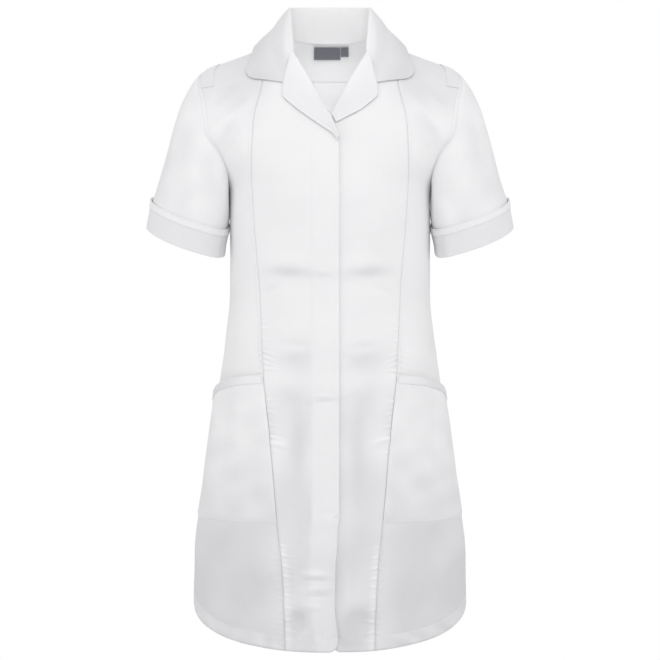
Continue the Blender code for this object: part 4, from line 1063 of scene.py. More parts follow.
def sleeve_surface(turn, share):
    """The sleeve by its turn round the arm and its share of the way from the armhole to the cuff.

    Each line is a cubic curve that leaves the armhole out and down and arrives along the arm."""
    armhole = np.arccos(ARMHOLE_BITE * np.abs(np.sin(turn)))
    angle = np.where(np.sin(turn) >= 0, armhole, math.pi - armhole)
    drop = ARMHOLE_MIDDLE_DROP - ARMHOLE_HALF_HEIGHT * np.cos(turn)
    underarm = ease((1 - np.cos(turn)) / 2, 0.55, 0.95)[:, None]
    leave = SLEEVE_LEAVE_TOP + (SLEEVE_LEAVE_MIDDLE - SLEEVE_LEAVE_TOP) * np.abs(np.sin(turn))[:, None]
    leave = leave * (1 - underarm) + SLEEVE_LEAVE_BOTTOM * underarm
    leave[:, 1] -= SLEEVE_SPREAD * np.sin(turn)
    leave = unit(leave)
    start = on_figure(angle, drop) - leave * SLEEVE_TUCK * (1 - underarm)
    start = start + outward(angle, drop) * UNDERARM_CLEARANCE * underarm
    end = sleeve_ring(turn, np.zeros_like(turn), 0.0)
    arm = np.array((math.sin(CUFF_TILT), 0.0, -math.cos(CUFF_TILT)))
    span = np.linalg.norm(end - start, axis=-1, keepdims=True)
    t = share[:, None, None]
    first = (1 + 2 * t) * (1 - t) ** 2 * start + t * (1 - t) ** 2 * leave * span * SLEEVE_PULL_START
    return first + t * t * (3 - 2 * t) * end + t * t * (t - 1) * arm * span * SLEEVE_PULL_END


turn = 2 * math.pi * np.arange(SLEEVE_COLUMNS) / SLEEVE_COLUMNS
share = np.concatenate([(0.0, 0.03, 0.10, 0.30, 0.60), np.arange(1, SLEEVE_ROWS + 1)]) / SLEEVE_ROWS
cuff_downs = CUFF_HEIGHT * np.arange(1, CUFF_ROWS + 1) / CUFF_ROWS
upper = sleeve_surface(turn, share)
lower = sleeve_ring(turn[None, :], np.repeat(cuff_downs[:, None], SLEEVE_COLUMNS, axis=1), 0.0)
sleeve_points = np.concatenate([upper, lower])
sleeve_x, sleeve_y, sleeve_z = np.moveaxis(sleeve_points, -1, 0)
from_middle = sleeve_points - sleeve_points.mean(axis=1, keepdims=True)
sleeve_out = grid_normals(sleeve_points, from_middle, closed=True)
_, sleeve_down = lengths(sleeve_points)
sleeve_share = np.concatenate([share, np.full(len(cuff_downs), 1.0)])[:, None]
for side, name in SIDES:
    degrees = np.degrees((turn[None, :] + math.pi) % (2 * math.pi) - math.pi) + 0 * sleeve_share
    lift = np.zeros_like(degrees)
    for at, level, half_turn, half_share, twist, rise in SLEEVE_FOLDS:
        aside = (degrees - at - twist * (sleeve_share - level) + 3 * side) / half_turn
        lift += rise * np.exp(-(aside**2) - ((sleeve_share - level) / half_share) ** 2)
    lift += unevenness(sleeve_x * side, sleeve_z + sleeve_y, 11, 0.045, 0.0010)
    lift *= ease(sleeve_share, 0.02, 0.25) * (1 - ease(sleeve_share, 0.86, 0.99))
    upward = (1 + np.cos(turn))[None, :] / 2
    lift += 0.0010 * upward * np.exp(-(((sleeve_down - 0.006) / 0.005) ** 2))
    points = side_of(sleeve_points + sleeve_out * lift[..., None], side)
    # Painted light and shade: random paleness, painted highlight on raised folds, the arm's lower side
    # painted paler, and painted shade along the underarm end of the armhole seam.
    pale = 0.66 + unevenness(points[..., 0], points[..., 2], 53, 0.050, 0.34) + 60 * lift
    pale += 0.4 * (1 - upward) - 0.6 * (1 - upward) * np.exp(-((sleeve_down / 0.004) ** 2))
    cloth_piece("sleeve_cloth_" + name, points, side_of(sleeve_out, side), drill, "sleeve_" + name,
                layers_and_painted_light=np.clip(pale, 0.0, 1.0), closed=True)


# Cuffs
# Turned-up cuffs, each a folded band of the same drill round the sleeve's end. The upper edge stands off
# the sleeve a little at the outer and inner side of the arm.
CUFF_CLOTH = 0.0016
CUFF_OFFSET = 0.0018
CUFF_TURN_BELOW = 0.0010
CUFF_GAPE = 0.0016


def cuff_ring(down, offset, side):
    """Points round the cuff at a depth: its oval, let out near the upper edge and a little uneven."""
    down = np.asarray(down)[:, None] + 0 * turn[None, :]
    sideways = np.abs(np.cos(turn + 0.25)) ** 3 * np.where(np.cos(turn + 0.25) < 0, 0.35, 1.0)
    loose = CUFF_GAPE * sideways * (1 - ease(down, -0.002, 0.020))
    wavy = 0.0005 * np.sin(5 * turn + 0.6 * side) + 0.0004 * np.sin(9 * turn + 1.7 + side)
    offset = offset + loose + np.abs(wavy) * ease(down, 0.0, 0.010)
    return side_of(sleeve_ring(turn[None, :] + 0 * down, down, offset), side)


cuff_share = np.concatenate([(0.0, 0.03, 0.10, 0.30), np.linspace(0.8, 41.2, 27), (41.6, 41.9, 42.1, 42.2)])
cuff_share /= cuff_share[-1]
for side, name in SIDES:
    points = cuff_ring(cuff_share * (CUFF_HEIGHT + CUFF_TURN_BELOW), CUFF_OFFSET, side)
    out = points - points.mean(axis=1, keepdims=True)
    cloth_piece("cuff_band_" + name, points, out, drill, "cuff_" + name, CUFF_CLOTH, 0.55, closed=True)


# Cuff bands
# A narrow band of plain white cotton round each cuff's upper edge, sewn on at both its edges.
TRIM = 0.0008
CUFF_TRIM_HEIGHT = 0.0096
CUFF_TRIM_ABOVE = 0.0006
CUFF_TRIM_OFFSET = 0.0030
TRIM_STITCH = 0.0014
trim_cloth = cloth_material("White cotton band", plain_and_shaded=(0.66, 0.66, 0.67), doubled_and_lit=(0.865, 0.865, 0.87),
                            rib_pitch=0.0008, weave_depth=0.00006, uneven_depth=0.0003)
trim_share = np.concatenate([(0.0, 0.01, 0.03, 0.06), np.linspace(0.12, 0.88, 7), (0.94, 0.97, 0.99, 1.0)])
for side, name in SIDES:
    downs = -CUFF_TRIM_ABOVE + (CUFF_TRIM_HEIGHT + CUFF_TRIM_ABOVE) * trim_share
    points = cuff_ring(downs, CUFF_TRIM_OFFSET, side)
    out = points - points.mean(axis=1, keepdims=True)
    piece = cloth_piece("cuff_edge_" + name, points, out, trim_cloth, "cuff_trim_" + name, TRIM, 0.84,
                        closed=True, slot="trim")
    stitches = sew("stitches_cuff_" + name, [line_across(piece, at) for at in (TRIM_STITCH, -TRIM_STITCH)])


# Pockets
# Hip pockets of the same drill, each caught in the princess and side seams and along its bottom.
# The mouth falls to the side and stands open a little, with folds that hang from it.
POCKET_MOUTH_DROP = 0.5047
POCKET_MOUTH_FALL = 0.0325
POCKET_MOUTH_CURVE = 1.7
POCKET_BOTTOM_DROP = 0.716
POCKET_MOUTH_GAPE = 0.0060
POCKET_SIDE_GAPE = 0.0022
POCKET_BELLY = 0.0012
POCKET_OFFSET = 0.0016
POCKET_CROWDING = 1.15
POCKET_COLUMNS = 62
POCKET_ROWS = 90
POCKET_SEAM_VALLEY = 0.0009
POCKET_FOLDS = np.array([
    # share across, share down, half share across, half share down, height (m)
    (0.30, 0.30, 0.070, 0.36, 0.0014),
    (0.46, 0.42, 0.060, 0.40, -0.0013),
    (0.66, 0.34, 0.070, 0.36, 0.0013),
    (0.82, 0.44, 0.050, 0.40, -0.0010),
    (0.16, 0.62, 0.060, 0.28, -0.0008),
])


def pocket_surface(level, side, offset):
    """A pocket's points and outward vectors by its level, 0 at the mouth and 1 at the bottom.

    It lies offset metres out from the side front, further at the mouth and in its folds."""
    share = 1 - (1 - shares(POCKET_COLUMNS)) ** POCKET_CROWDING
    level = np.asarray(level)[:, None]
    mouth = POCKET_MOUTH_DROP + POCKET_MOUTH_FALL * share**POCKET_MOUTH_CURVE
    drop = mouth + (POCKET_BOTTOM_DROP - mouth) * level
    angle = princess_angle(drop) * (1 - share) + math.pi / 2 * share
    middle = np.sin(math.pi * np.clip(share, 0, 1)) ** 0.8
    gape = (POCKET_MOUTH_GAPE * (1 - level) ** 2.0 + POCKET_BELLY * (1 - level**6)) * middle
    gape = gape + POCKET_SIDE_GAPE * share**4 * (1 - level) ** 3
    for at, depth, half_across, half_down, rise in POCKET_FOLDS:
        bell = np.exp(-(((share - at) / half_across) ** 2) - ((level - depth) / half_down) ** 2)
        gape += rise * middle * bell
    place, out = on_side(angle, drop, side)
    across, _ = lengths(place)
    from_seam = np.minimum(across, across[:, -1:] - across)
    flush = 1 - 0.75 * ease(level, 0.955, 1.0)
    lift = lie_of_cloth(place) + gape + offset * flush + seam_valley(from_seam, POCKET_SEAM_VALLEY)
    return place + out * lift[..., None], out


last_rows = POCKET_ROWS - np.array((0.6, 0.3, 0.1, 0.0))
pocket_levels = np.concatenate([(0.0, 0.04, 0.14, 0.40), np.arange(1, POCKET_ROWS), last_rows]) / POCKET_ROWS
for side, name in SIDES:
    points, out = pocket_surface(pocket_levels, side, POCKET_OFFSET)
    # Painted shade: the pocket is drawn paler at its mouth and darker towards its bottom, with random
    # blotches.
    pale = 0.92 - 0.42 * ease(-points[..., 2], 0.57, 0.72)
    pale += unevenness(points[..., 0], points[..., 2], 59, 0.05, 0.3)
    cloth_piece("pocket_cloth_" + name, points, out, drill, "pocket_" + name, layers_and_painted_light=np.clip(pale, 0.0, 1.0))
    stitches = sew("stitches_pocket_" + name, [line_across(pieces["pocket_" + name], -0.0020)])


# Pocket bands
# A band of plain white cotton along each pocket's mouth, sewn on at both its edges. It is painted greyer
# towards the side, as painted shade where the mouth stands open.
POCKET_TRIM_HEIGHT = 0.0115
POCKET_TRIM_ABOVE = 0.0008
POCKET_TRIM_OFFSET = 0.0026
pocket_depth = POCKET_BOTTOM_DROP - POCKET_MOUTH_DROP
for side, name in SIDES:
    levels = (-POCKET_TRIM_ABOVE + (POCKET_TRIM_HEIGHT + POCKET_TRIM_ABOVE) * trim_share) / pocket_depth
    points, out = pocket_surface(levels, side, POCKET_TRIM_OFFSET)
    # Painted shade: the band grows greyer towards the side seam.
    grey = 0.84 - 0.44 * ease(np.abs(points[..., 0]), 0.115, 0.165)
    piece = cloth_piece("pocket_edge_" + name, points, out, trim_cloth, "pocket_trim_" + name, TRIM, grey,
                        slot="trim")
    stitches = sew("stitches_pocket_band_" + name,
                   [line_across(piece, at) for at in (TRIM_STITCH, -TRIM_STITCH)])


# Collar
# A flat convertible collar of the same drill over interlining, stand and fall in one. It rolls over at
# the fold, lies on the body in front and has rounded points and a row of stitches 5 mm from its edge.
COLLAR = np.array([
    # place, seam x, y, z, fold x, y, z, middle x, y, z, edge x, y, z
    (0.00, 0.0546, -0.0385, -0.0245, 0.0555, -0.0440, -0.0240,
     0.0690, -0.0640, -0.0735, 0.1130, -0.0580, -0.0672),
    (0.07, 0.0545, -0.0335, -0.0165, 0.0562, -0.0405, -0.0125,
     0.0745, -0.0590, -0.0590, 0.1200, -0.0548, -0.0640),
    (0.14, 0.0545, -0.0280, -0.0100, 0.0575, -0.0345, 0.0010,
     0.0800, -0.0520, -0.0460, 0.1245, -0.0505, -0.0560),
    (0.26, 0.0550, -0.0160, -0.0020, 0.0592, -0.0200, 0.0250,
     0.0860, -0.0360, -0.0150, 0.1190, -0.0360, -0.0365),
    (0.42, 0.0560, 0.0020, 0.0010, 0.0608, 0.0030, 0.0450,
     0.0850, -0.0010, 0.0150, 0.1105, -0.0020, -0.0118),
    (0.60, 0.0500, 0.0280, 0.0010, 0.0550, 0.0330, 0.0500,
     0.0730, 0.0470, 0.0140, 0.0930, 0.0580, -0.0170),
    (0.80, 0.0290, 0.0500, 0.0010, 0.0320, 0.0560, 0.0538,
     0.0410, 0.0730, 0.0130, 0.0500, 0.0860, -0.0230),
    (1.00, 0.0000, 0.0585, 0.0010, 0.0000, 0.0650, 0.0552,
     0.0000, 0.0810, 0.0130, 0.0000, 0.0910, -0.0260),
])
COLLAR_CLOTH = 0.0018
COLLAR_CLEARANCE = 0.0028
COLLAR_TUCK = (0.0026, 0.0024)
COLLAR_ROLL_INSIDE = (0.0022, 0.0030)
COLLAR_ROLL_OUTSIDE = (0.0034, 0.0034)
COLLAR_FULLNESS = 0.0010
COLLAR_STITCH = 0.0050
COLLAR_COLUMNS = 150
COLLAR_ROWS = 64


def rest_on_figure(points, clearance):
    """Points drawn out in front or behind until they lie clear of the tunic's body below them."""
    drop = np.clip(-points[..., 2], 0.0, None)
    facing = np.sqrt(1 - np.clip(points[..., 0] / half_width(drop), -1.0, 1.0) ** 2)
    front, back = depths(drop)
    needed = np.where(points[..., 1] < 0, front, back) * facing + clearance / np.maximum(facing, 0.5)
    depth = np.abs(points[..., 1])
    depth = np.where((points[..., 2] < 0) & (facing > 0.3), np.maximum(depth, needed), depth)
    return np.stack([points[..., 0], np.where(points[..., 1] < 0, -depth, depth), points[..., 2]], axis=-1)


def across_rows(key_rows, rows):
    """A grid whose columns are the cubic curves through key rows, spaced by their mean distances."""
    gaps = np.linalg.norm(np.diff(key_rows, axis=0), axis=-1).mean(axis=1)
    at = np.concatenate([[0.0], np.cumsum(gaps)])
    return through(at[-1] * shares(rows - 8)[0], at, key_rows)


mirror = COLLAR[-2::-1] * np.tile((-1.0, 1.0, 1.0), 5)[2:]
mirror[:, 0] = 2 - COLLAR[-2::-1, 0]
whole = np.concatenate([COLLAR, mirror])
collar_place = 2 * shares(COLLAR_COLUMNS)[0]
seam, fold, middle, edge = (
    np.stack([smooth(collar_place, whole, column + k, 0.020) for k in range(3)], axis=-1)
    for column in (1, 4, 7, 10)
)
up = np.array((0.0, 0.0, 1.0))
away = unit((edge - seam) * np.array((1.0, 1.0, 0.0)))
seam = seam + unit(seam * np.array((1.0, 1.0, 0.0))) * COLLAR_TUCK[0] - up * COLLAR_TUCK[1]
inner_fold = fold - away * COLLAR_ROLL_INSIDE[0] - up * COLLAR_ROLL_INSIDE[1]
outer_fold = fold + away * COLLAR_ROLL_OUTSIDE[0] - up * COLLAR_ROLL_OUTSIDE[1]
upper = (outer_fold + middle) / 2 + away * COLLAR_FULLNESS
lower = (middle + edge) / 2 + away * COLLAR_FULLNESS / 2
resting = [rest_on_figure(part, COLLAR_CLEARANCE) for part in (upper, middle, lower, edge)]
key_rows = np.stack([seam, (seam + inner_fold) / 2, inner_fold, fold, outer_fold, *resting])
points = across_rows(key_rows, COLLAR_ROWS)
out = grid_normals(points, np.ones(3))
behind = out[:, len(collar_place) // 2]
out = out if behind[-1, 1] > 0 else -out
collar_across, collar_down = lengths(points)
from_outer = collar_down[-1:] - collar_down
from_ends = np.minimum(collar_across, collar_across[:, -1:] - collar_across)
lift = stitched_line(from_outer, COLLAR_STITCH) + stitched_line(from_ends, COLLAR_STITCH)
wide = unevenness(points[..., 0], points[..., 1] + points[..., 2], 17, 0.040, 0.0006)
lift += wide * ease(collar_down, 0.0, 0.02)
# Painted shade: the collar is drawn paler by its fold and greyer towards its outer edge.
collar = cloth_piece("collar_cloth", points + out * lift[..., None], out, drill, "collar", COLLAR_CLOTH,
                     0.50 * ease(from_outer, 0.008, 0.060) + 0.50 * ease(from_outer, 0.068, 0.090))
stitches = sew("stitches_collar", [
    line_across(collar, -COLLAR_STITCH, 0.006, 0.006),
    line_down(collar, COLLAR_STITCH, 0.012, 0.006),
    line_down(collar, -COLLAR_STITCH, 0.012, 0.006),
])


# Revers
# The turned-back tops of the two fronts, of the same drill with a facing inside. Each rolls at the
# front's edge and lies on the front, with a point below the collar's notch and a stitched edge.
REVERS_TOP = np.array([
    # place, roll drop, edge out, edge drop
    (0.00, 0.0280, 0.0690, 0.0770),
    (0.12, 0.0400, 0.0695, 0.0860),
    (0.22, 0.0530, 0.0690, 0.0955),
    (0.30, 0.0640, 0.0600, 0.1050),
    (0.48, 0.0905, 0.0381, 0.1231),
    (0.72, 0.1210, 0.0132, 0.1410),
    (0.90, 0.1460, -0.0045, 0.1540),
    (1.00, 0.1590, -0.0100, 0.1640),
])
REVERS_UNDER = np.array([
    # place, roll drop, edge out, edge drop
    (0.00, 0.0280, 0.0690, 0.0770),
    (0.12, 0.0400, 0.0695, 0.0860),
    (0.22, 0.0530, 0.0690, 0.0950),
    (0.30, 0.0640, 0.0610, 0.1030),
    (0.48, 0.0880, 0.0440, 0.1165),
    (0.72, 0.1090, 0.0260, 0.1250),
    (1.00, 0.1240, 0.0085, 0.1340),
])
REVERS_SECTION = np.array([
    # step out from the roll (m), share of the width, height (m)
    (-0.0028, 0.00, 0.0006),
    (-0.0030, 0.00, 0.0028),
    (0.0010, 0.00, 0.0042),
    (0.0000, 0.35, 0.0044),
    (0.0000, 0.70, 0.0036),
    (0.0000, 1.00, 0.0030),
])
REVERS_TUCK = -0.100
REVERS_TUCK_DEPTH = 0.0016
REVERS_COLUMNS = 84
REVERS_ROWS = 48
REVERS_CLOTH = 0.0014
for side, name, table in ((-1, "right", REVERS_TOP), (1, "left", REVERS_UNDER)):
    revers_place = REVERS_TUCK + (1 - REVERS_TUCK) * shares(REVERS_COLUMNS)[0]
    roll_drop = smooth(revers_place, table, 1, 0.012)
    roll = np.stack([roll_out(roll_drop), roll_drop], axis=-1)
    if side > 0:
        roll[:, 0] = np.maximum(roll[:, 0], UNDER_FRONT_EDGE)
    edge = np.stack([smooth(revers_place, table, 2, 0.012), smooth(revers_place, table, 3, 0.012)], axis=-1)
    away = unit(edge - roll)
    key_rows = []
    for step, share, height in REVERS_SECTION:
        flat = roll + away * step + (edge - roll) * share
        distance, drop = flat.T
        sunk = UNDERLAP_SINK * (1 - ease(distance, UNDERLAP_FROM, LEVEL_AT)) * ease(drop, 0.085, 0.120)
        tucked = REVERS_TUCK_DEPTH * (1 - ease(revers_place, REVERS_TUCK, 0.10))
        lift = np.maximum(height - tucked, 0.0012) - sunk * (side > 0)
        angle = angle_at(distance, drop)
        key_rows.append(on_figure(angle, drop) + outward(angle, drop) * lift[:, None])
    points = side_of(across_rows(np.stack(key_rows), REVERS_ROWS), side)
    out = np.array((0.0, -1.0, 0.0))
    normal = grid_normals(points, out)
    across, down = lengths(points)
    from_edge = np.minimum(down[-1:] - down, np.minimum(across, across[:, -1:] - across))
    lift = stitched_line(from_edge, COLLAR_STITCH)
    lift += unevenness(points[..., 0], points[..., 2], 19, 0.030, 0.0005) * ease(down, 0.004, 0.015)
    points = points + normal * lift[..., None]
    piece = cloth_piece("revers_cloth_" + name, points, out, drill, "revers_" + name, REVERS_CLOTH, 0.75)
    stitches = sew("stitches_revers_" + name, [
        line_across(piece, -COLLAR_STITCH, 0.006, 0.012), line_down(piece, COLLAR_STITCH, 0.010, 0.006)])


# Shoulder loops
# Flat straps of white cotton band over the shoulder seams beside the armholes, sewn down at both ends.
# The front end has a box of stitches, and the middle stands a little off the seam.
LOOP_REACH = 3.2 / 12
LOOP_FRONT_SHARES = (0.694, 0.929)
LOOP_BACK_SHARES = (0.095, 0.025)
LOOP_LIFT = 0.0011
LOOP_RISE = 0.0007
LOOP_CLOTH = 0.0010
LOOP_ROWS = 109
LOOP_COLUMNS = 22
LOOP_STITCH = 0.0015
LOOP_BOX = 0.0120

along = np.linspace(-1.0, 1.0, LOOP_ROWS + 1)[:, None]
k = LOOP_REACH * np.abs(along)
armhole_drop, princess_drop, _ = yoke_drops(k)
armhole = np.arccos(ARMHOLE_BITE * np.sin(math.pi * k))
width_share = shares(LOOP_COLUMNS)
share = LOOP_FRONT_SHARES[0] + (LOOP_FRONT_SHARES[1] - LOOP_FRONT_SHARES[0]) * width_share
front_angle = princess_angle(princess_drop) * (1 - share) + armhole * share
front_drop = princess_drop * (1 - share) + armhole_drop * share
share = LOOP_BACK_SHARES[0] + (LOOP_BACK_SHARES[1] - LOOP_BACK_SHARES[0]) * width_share
back_angle = (math.pi - armhole) * (1 - share) + math.pi * share
back_drop = armhole_drop * (1 - share) + UNDERARM_DROP * k * share
fade = (1 - k) ** 3
back_angle = back_angle - fade * math.pi / 2 * share
tip_drop = SHOULDER_TIP_DROP * (1 - share / SHOULDER_SHARE)
back_drop = back_drop + fade * (tip_drop - yoke_drops(0.0)[0] * (1 - share))
loop_angle = np.where(along < 0, front_angle, back_angle)
loop_drop = np.where(along < 0, front_drop, back_drop)
for side, name in SIDES:
    place, out = on_side(loop_angle, loop_drop, side)
    lift = LOOP_LIFT + LOOP_RISE * np.cos(math.pi / 2 * along) ** 1.5 + lie_of_cloth(place)
    lift -= LOOP_RISE * np.abs(2 * width_share - 1) ** 6 * np.cos(math.pi / 2 * along)
    piece = cloth_piece("shoulder_strap_" + name, place + out * lift[..., None], out, drill,
                        "shoulder_loop_" + name, LOOP_CLOTH, 0.45, slot="trim")
    stitches = sew("stitches_strap_" + name, [
        *(line_down(piece, at, 0.001, 0.001) for at in (LOOP_STITCH, -LOOP_STITCH)),
        *(line_across(piece, at, LOOP_STITCH, LOOP_STITCH) for at in (LOOP_STITCH, LOOP_BOX))])


# Back neck facing
# A shaped facing of the same drill inside the back neck, sewn to the neck seam under the collar. Its lower
# edge is turned and stitched.
FACING_SHARE = 0.50
FACING_BELOW = 0.25
FACING_CLOTH = 0.0007
FACING_LIFT = -0.0012
back_angle, back_drop = back_grid()
rows_in = np.linspace(0.0, 1.0, YOKE_ROWS + 1) <= FACING_BELOW
columns_in = shares(BACK_HALF_COLUMNS)[0] >= FACING_SHARE
place, out = both_halves(back_angle[:rows_in.sum(), columns_in], back_drop[:rows_in.sum(), columns_in])
points = place + out * (lie_of_cloth(place) + FACING_LIFT)[..., None]
piece = cloth_piece("neck_facing", points, out, drill, "back_neck_facing", FACING_CLOTH, 0.9)
stitches = sew("stitches_neck_facing", [line_across(piece, -0.0030, 0.002, 0.002, lift=-FACING_CLOTH)])


# Neck labels
# A bare grey woven label and a small size tab, caught in the neck seam inside the back. Each has a cut and
# sealed edge that is woven a little lighter.
LABEL_CLOTH = 0.0005
LABEL_LIFT = -0.0040
LABEL_DROP = 0.0040
LABEL_BORDER = 0.0012
LABEL_STEP = 0.0008
label_cloth = cloth_material("Grey woven label", plain_and_shaded=(0.140, 0.146, 0.165), doubled_and_lit=(0.215, 0.222, 0.245),
                             rib_pitch=0.00045, weave_depth=0.00008, uneven_depth=0.0001,
                             roughness=0.6, sheen=0.3)
for name, node, centre, width, height in (("neck_label_cloth", "neck_label", -0.0045, 0.0420, 0.0180),
                                          ("size_tab_cloth", "size_tab", 0.02315, 0.0125, 0.0135)):
    x = centre + width * (shares(int(width / LABEL_STEP)) - 0.5)
    drop = LABEL_DROP + height * shares(int(height / LABEL_STEP)).T
    x, drop = np.broadcast_arrays(x, drop)
    angle = math.pi - np.arcsin(x / half_width(drop))
    from_edge = np.minimum(width / 2 - np.abs(x - centre), LABEL_DROP + height - drop)
    curl = 0.0005 * ease(drop, LABEL_DROP + 0.004, LABEL_DROP + height)
    place, out = on_figure(angle, drop), outward(angle, drop)
    points = place + out * (LABEL_LIFT - curl)[..., None]
    border = ease(from_edge, LABEL_BORDER, LABEL_BORDER - 0.0003)
    cloth_piece(name, points, out, label_cloth, node, LABEL_CLOTH, border, slot="label")


# Fly facing
# The facing behind the right front's edge, of the same drill, from the break of the revers to the hem.
FLY_FACING_SHARE = 4 / 7
FLY_FACING_TOP = 0.186
FLY_FACING_CLOTH = 0.0008
FLY_FACING_LIFT = -0.0013
angle, drop = centre_grid(top=True)
first_row = np.searchsorted(drop[:, -1], FLY_FACING_TOP)
columns_in = np.flatnonzero(shares(CENTRE_COLUMNS)[0] >= FLY_FACING_SHARE)[::-2][::-1]
angle, drop = angle[first_row:, columns_in], drop[first_row:, columns_in]
place, out = on_side(angle, drop, -1)
points = place + out * (lie_of_cloth(place) + FLY_FACING_LIFT)[..., None]
cloth_piece("fly_facing_cloth", points, out, drill, "fly_facing", FLY_FACING_CLOTH, 0.5)


# Zip
# A closed coil zip with a woven white tape, hidden behind the fly. Its two rows of coils meet in the middle,
# and the slider with its pull tab is at the top.
ZIP_TOP_DROP = 0.170
ZIP_BOTTOM_DROP = 0.705
ZIP_MIDDLE = -0.0010
ZIP_TAPE = 0.0005
ZIP_TAPE_HALF_WIDTH = 0.0115
ZIP_TAPE_LIFT = -0.0060
ZIP_COIL_TOP = 0.182
ZIP_COIL_LIFT = -0.0046
ZIP_COIL_OUT = 0.0011
ZIP_COIL_SHIFT = 0.00032
ZIP_COIL_PITCH = 0.0013
SLIDER_DROP = 0.1770
BLOCK_RINGS = 11
BLOCK_SIDES = 28
TAPE_WHITE = (0.76, 0.76, 0.79)
COIL_WHITE = (0.72, 0.72, 0.76)
tape_cloth = cloth_material("White zip tape", plain_and_shaded=TAPE_WHITE, doubled_and_lit=TAPE_WHITE, rib_pitch=0.0009,
                            weave_depth=0.00012, uneven_depth=0.0002, roughness=0.7)
coil_plastic = cloth_material("White zip coil", plain_and_shaded=COIL_WHITE, doubled_and_lit=COIL_WHITE, rib_pitch=0.0006,
                              weave_depth=0.00003, uneven_depth=0.0001, roughness=0.38, sheen=0.0)


def down_the_zip(x, drop, lift):
    """Points and normals at a distance x to the left of the centre line, lift metres out from the figure."""
    x, drop = np.broadcast_arrays(x, drop)
    angle = angle_at(x, drop)
    place, out = on_figure(angle, drop), outward(angle, drop)
    return place + out * (lie_of_cloth(place) + lift)[..., None], out


drop = ZIP_TOP_DROP + (ZIP_BOTTOM_DROP - ZIP_TOP_DROP) * shares(200).T
points, out = down_the_zip(ZIP_MIDDLE + ZIP_TAPE_HALF_WIDTH * (2 * shares(6) - 1), drop, ZIP_TAPE_LIFT)
cloth_piece("zip_tape_cloth", points, out, tape_cloth, "zip_tape", ZIP_TAPE, slot="zip_tape")
drop = np.linspace(ZIP_COIL_TOP, ZIP_BOTTOM_DROP - 0.002, 600)
coils = [down_the_zip(ZIP_MIDDLE + ZIP_COIL_OUT * half, drop + ZIP_COIL_SHIFT * half, ZIP_COIL_LIFT)
         for half in (-1, 1)]
sew("zip_coils", coils, pitch=ZIP_COIL_PITCH, length=0.0024, width=0.0009, height=0.0016, across_path=True,
    material=coil_plastic, slot="zip_coil", nodes=("zip_chain",))


def rounded_block(name, drop, lift, width, height, thickness, *nodes):
    """A flat rounded block on the zip: rings of a square with soft corners, closed by a point at each end.

    A ring's half size is the fourth root of 1 - t to the fourth, where t goes from -1 to 1 through it."""
    t = np.sin(np.linspace(-math.pi / 2, math.pi / 2, BLOCK_RINGS + 2))[1:-1, None]
    turn = 2 * math.pi * np.arange(BLOCK_SIDES)[None, :] / BLOCK_SIDES
    size = (1 - t**4) ** 0.25
    x, y = (size * np.sign(wave) * np.abs(wave) ** 0.5 for wave in (np.cos(turn), np.sin(turn)))
    rings = np.stack([x, y, t + 0 * turn], axis=-1).reshape(-1, 3)
    flat = np.concatenate([rings, ((0, 0, -1), (0, 0, 1))]) * np.array((width, height, thickness)) / 2
    base, out = down_the_zip(ZIP_MIDDLE + flat[:, 0], drop + flat[:, 1], lift)
    points = base + out * flat[:, 2:]
    index = np.arange(len(rings)).reshape(BLOCK_RINGS, BLOCK_SIDES)
    after = np.roll(index, -1, axis=1)
    faces = np.stack([index[:-1], after[:-1], after[1:], index[1:]], axis=-1).reshape(-1, 4).tolist()
    faces += [(len(rings), b, a) for a, b in zip(index[0], after[0])]
    faces += [(len(rings) + 1, a, b) for a, b in zip(index[-1], after[-1])]
    mesh = bpy.data.meshes.new(name)
    mesh.from_pydata(points.tolist(), [], [tuple(face)[::-1] for face in faces])
    mesh.uv_layers.new(name="cloth")
    mesh.attributes.new("layers_and_painted_light", "FLOAT", "POINT")
    add_object(name, mesh, coil_plastic, "zip_coil", *nodes)


rounded_block("zip_slider_body", SLIDER_DROP, -0.0043, 0.0060, 0.0088, 0.0026, "zip_slider")
rounded_block("zip_pull_tab", SLIDER_DROP + 0.0070, -0.0025, 0.0048, 0.0150, 0.0009)


# Bar tacks
# Short dense bars of thread where a seam's end is pulled: the ends of the placket, the pocket mouths and the
# tops of the vents.


def bar(piece, across, down, length, upright=False):
    """A short path of one bar tack on a piece, across or down it, from a place in metres."""
    points, normals = line_down(piece, across) if upright else line_across(piece, down)
    gone = walked(points)
    start = down if upright else across
    start = start if start >= 0 else gone[-1] + start
    places = np.linspace(start, start + length, 12)
    return at_lengths(places, gone, points), at_lengths(places, gone, normals)


bars = [bar(pieces["front_centre_right"], -0.0085, 0.7600, 0.0075)]
for _, name in SIDES:
    band_piece = pieces["pocket_trim_" + name]
    bars.append(bar(band_piece, 0.0016, 0.0015, 0.0090, upright=True))
    bars.append(bar(band_piece, -0.0022, 0.0015, 0.0090, upright=True))
    bars.append(bar(pieces["front_side_" + name], -0.0085, 0.789, 0.0070))
sew("bar_tacks", bars, pitch=0.00055, length=0.0022, width=0.00050, height=0.00050, across_path=True)


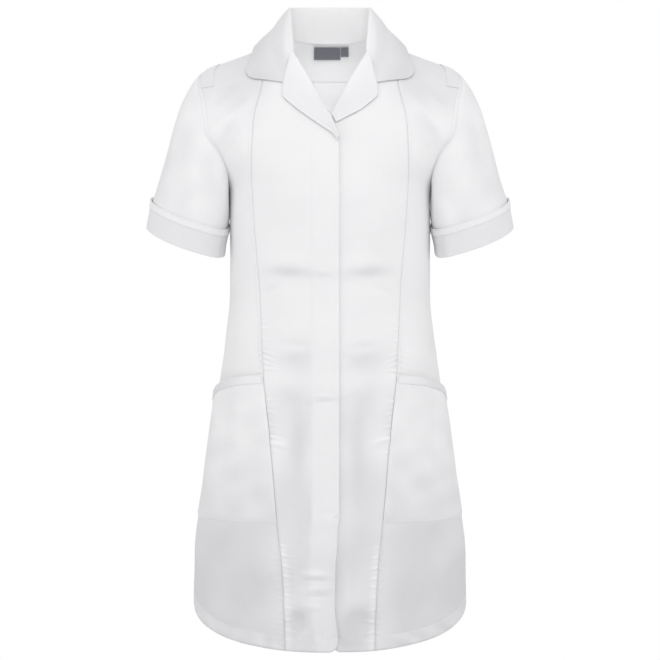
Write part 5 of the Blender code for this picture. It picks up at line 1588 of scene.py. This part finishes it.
# Studio
# A pale floor disc below the hem, a white surround, large soft lights in front, behind and at both sides,
# a narrow soft beam into the neck from in front, and a small weak light inside that shines up.
FLOOR_DROP = 1.40
FLOOR_RADIUS = 1.5
FLOOR_CORNERS = 96
angles = np.linspace(0, 2 * math.pi, FLOOR_CORNERS, endpoint=False)
floor_mesh = bpy.data.meshes.new("studio_floor")
rim = [FLOOR_RADIUS * np.cos(angles), FLOOR_RADIUS * np.sin(angles), 0 * angles - FLOOR_DROP]
floor_mesh.from_pydata(np.stack(rim, axis=1).tolist(), [], [list(range(FLOOR_CORNERS))])
floor = bpy.data.objects.new("studio_floor", floor_mesh)
bpy.context.scene.collection.objects.link(floor)
floor_paint, _, _ = new_material("Pale floor", {"Base Color": (0.85, 0.85, 0.86, 1.0), "Roughness": 0.7})
floor_mesh.materials.append(floor_paint)

world = bpy.data.worlds.new("studio")
bpy.context.scene.world = world
world.use_nodes = True
surround = world.node_tree.nodes["Background"]
set_sockets(world.node_tree, surround, {"Color": (0.99, 0.99, 1.0, 1.0), "Strength": 0.78})
white = add_node(world.node_tree, "Background", {"Color": (1.0, 1.0, 1.0, 1.0), "Strength": 1.0})
seen = add_node(world.node_tree, "LightPath", {}).outputs["Is Camera Ray"]
choose = add_node(world.node_tree, "MixShader", {"Fac": seen, 1: surround.outputs[0], 2: white.outputs[0]})
world.node_tree.links.new(choose.outputs[0], world.node_tree.nodes["World Output"].inputs["Surface"])


def aimed_light(name, kind, place, aim, power):
    """A light of Blender's own kind that faces its aim."""
    data = bpy.data.lights.new(name, kind)
    data.energy = power
    light = bpy.data.objects.new(name, data)
    light.location = place
    x, y, z = np.subtract(aim, place)
    tilt = math.pi / 2 + math.atan2(z, math.hypot(x, y))
    light.rotation_euler = (tilt, 0.0, math.atan2(y, x) - math.pi / 2)
    bpy.context.scene.collection.objects.link(light)
    return data


SOFTBOX = 1.2
for name, place, aim, power in (
    ("front softbox", (0.0, -2.3, 1.4), (0.0, 0.0, -0.30), 17.0),
    ("right softbox", (2.3, -1.3, 0.4), (0.0, 0.0, -0.4), 7.0),
    ("left softbox", (-2.3, -1.3, 0.4), (0.0, 0.0, -0.4), 7.0),
    ("back softbox", (0.0, 2.4, 1.2), (0.0, 0.0, -0.4), 16.0),
):
    softbox = aimed_light(name, "AREA", place, aim, power)
    softbox.shape = "SQUARE"
    softbox.size = SOFTBOX
neck_light = aimed_light("neck spotlight", "SPOT", (0.0, -1.45, 0.12), (0.0, 0.06, -0.045), 20.0)
neck_light.spot_size = math.radians(4.6)
neck_light.spot_blend = 1.0
neck_light.shadow_soft_size = 0.03
inner_light = aimed_light("inner light", "AREA", (0.0, -0.02, -0.60), (0.0, 0.03, -0.05), 0.74)
inner_light.shape = "SQUARE"
inner_light.size = 0.16
bpy.data.objects["inner light"].visible_camera = False
bpy.context.scene.view_settings.view_transform = "Standard"
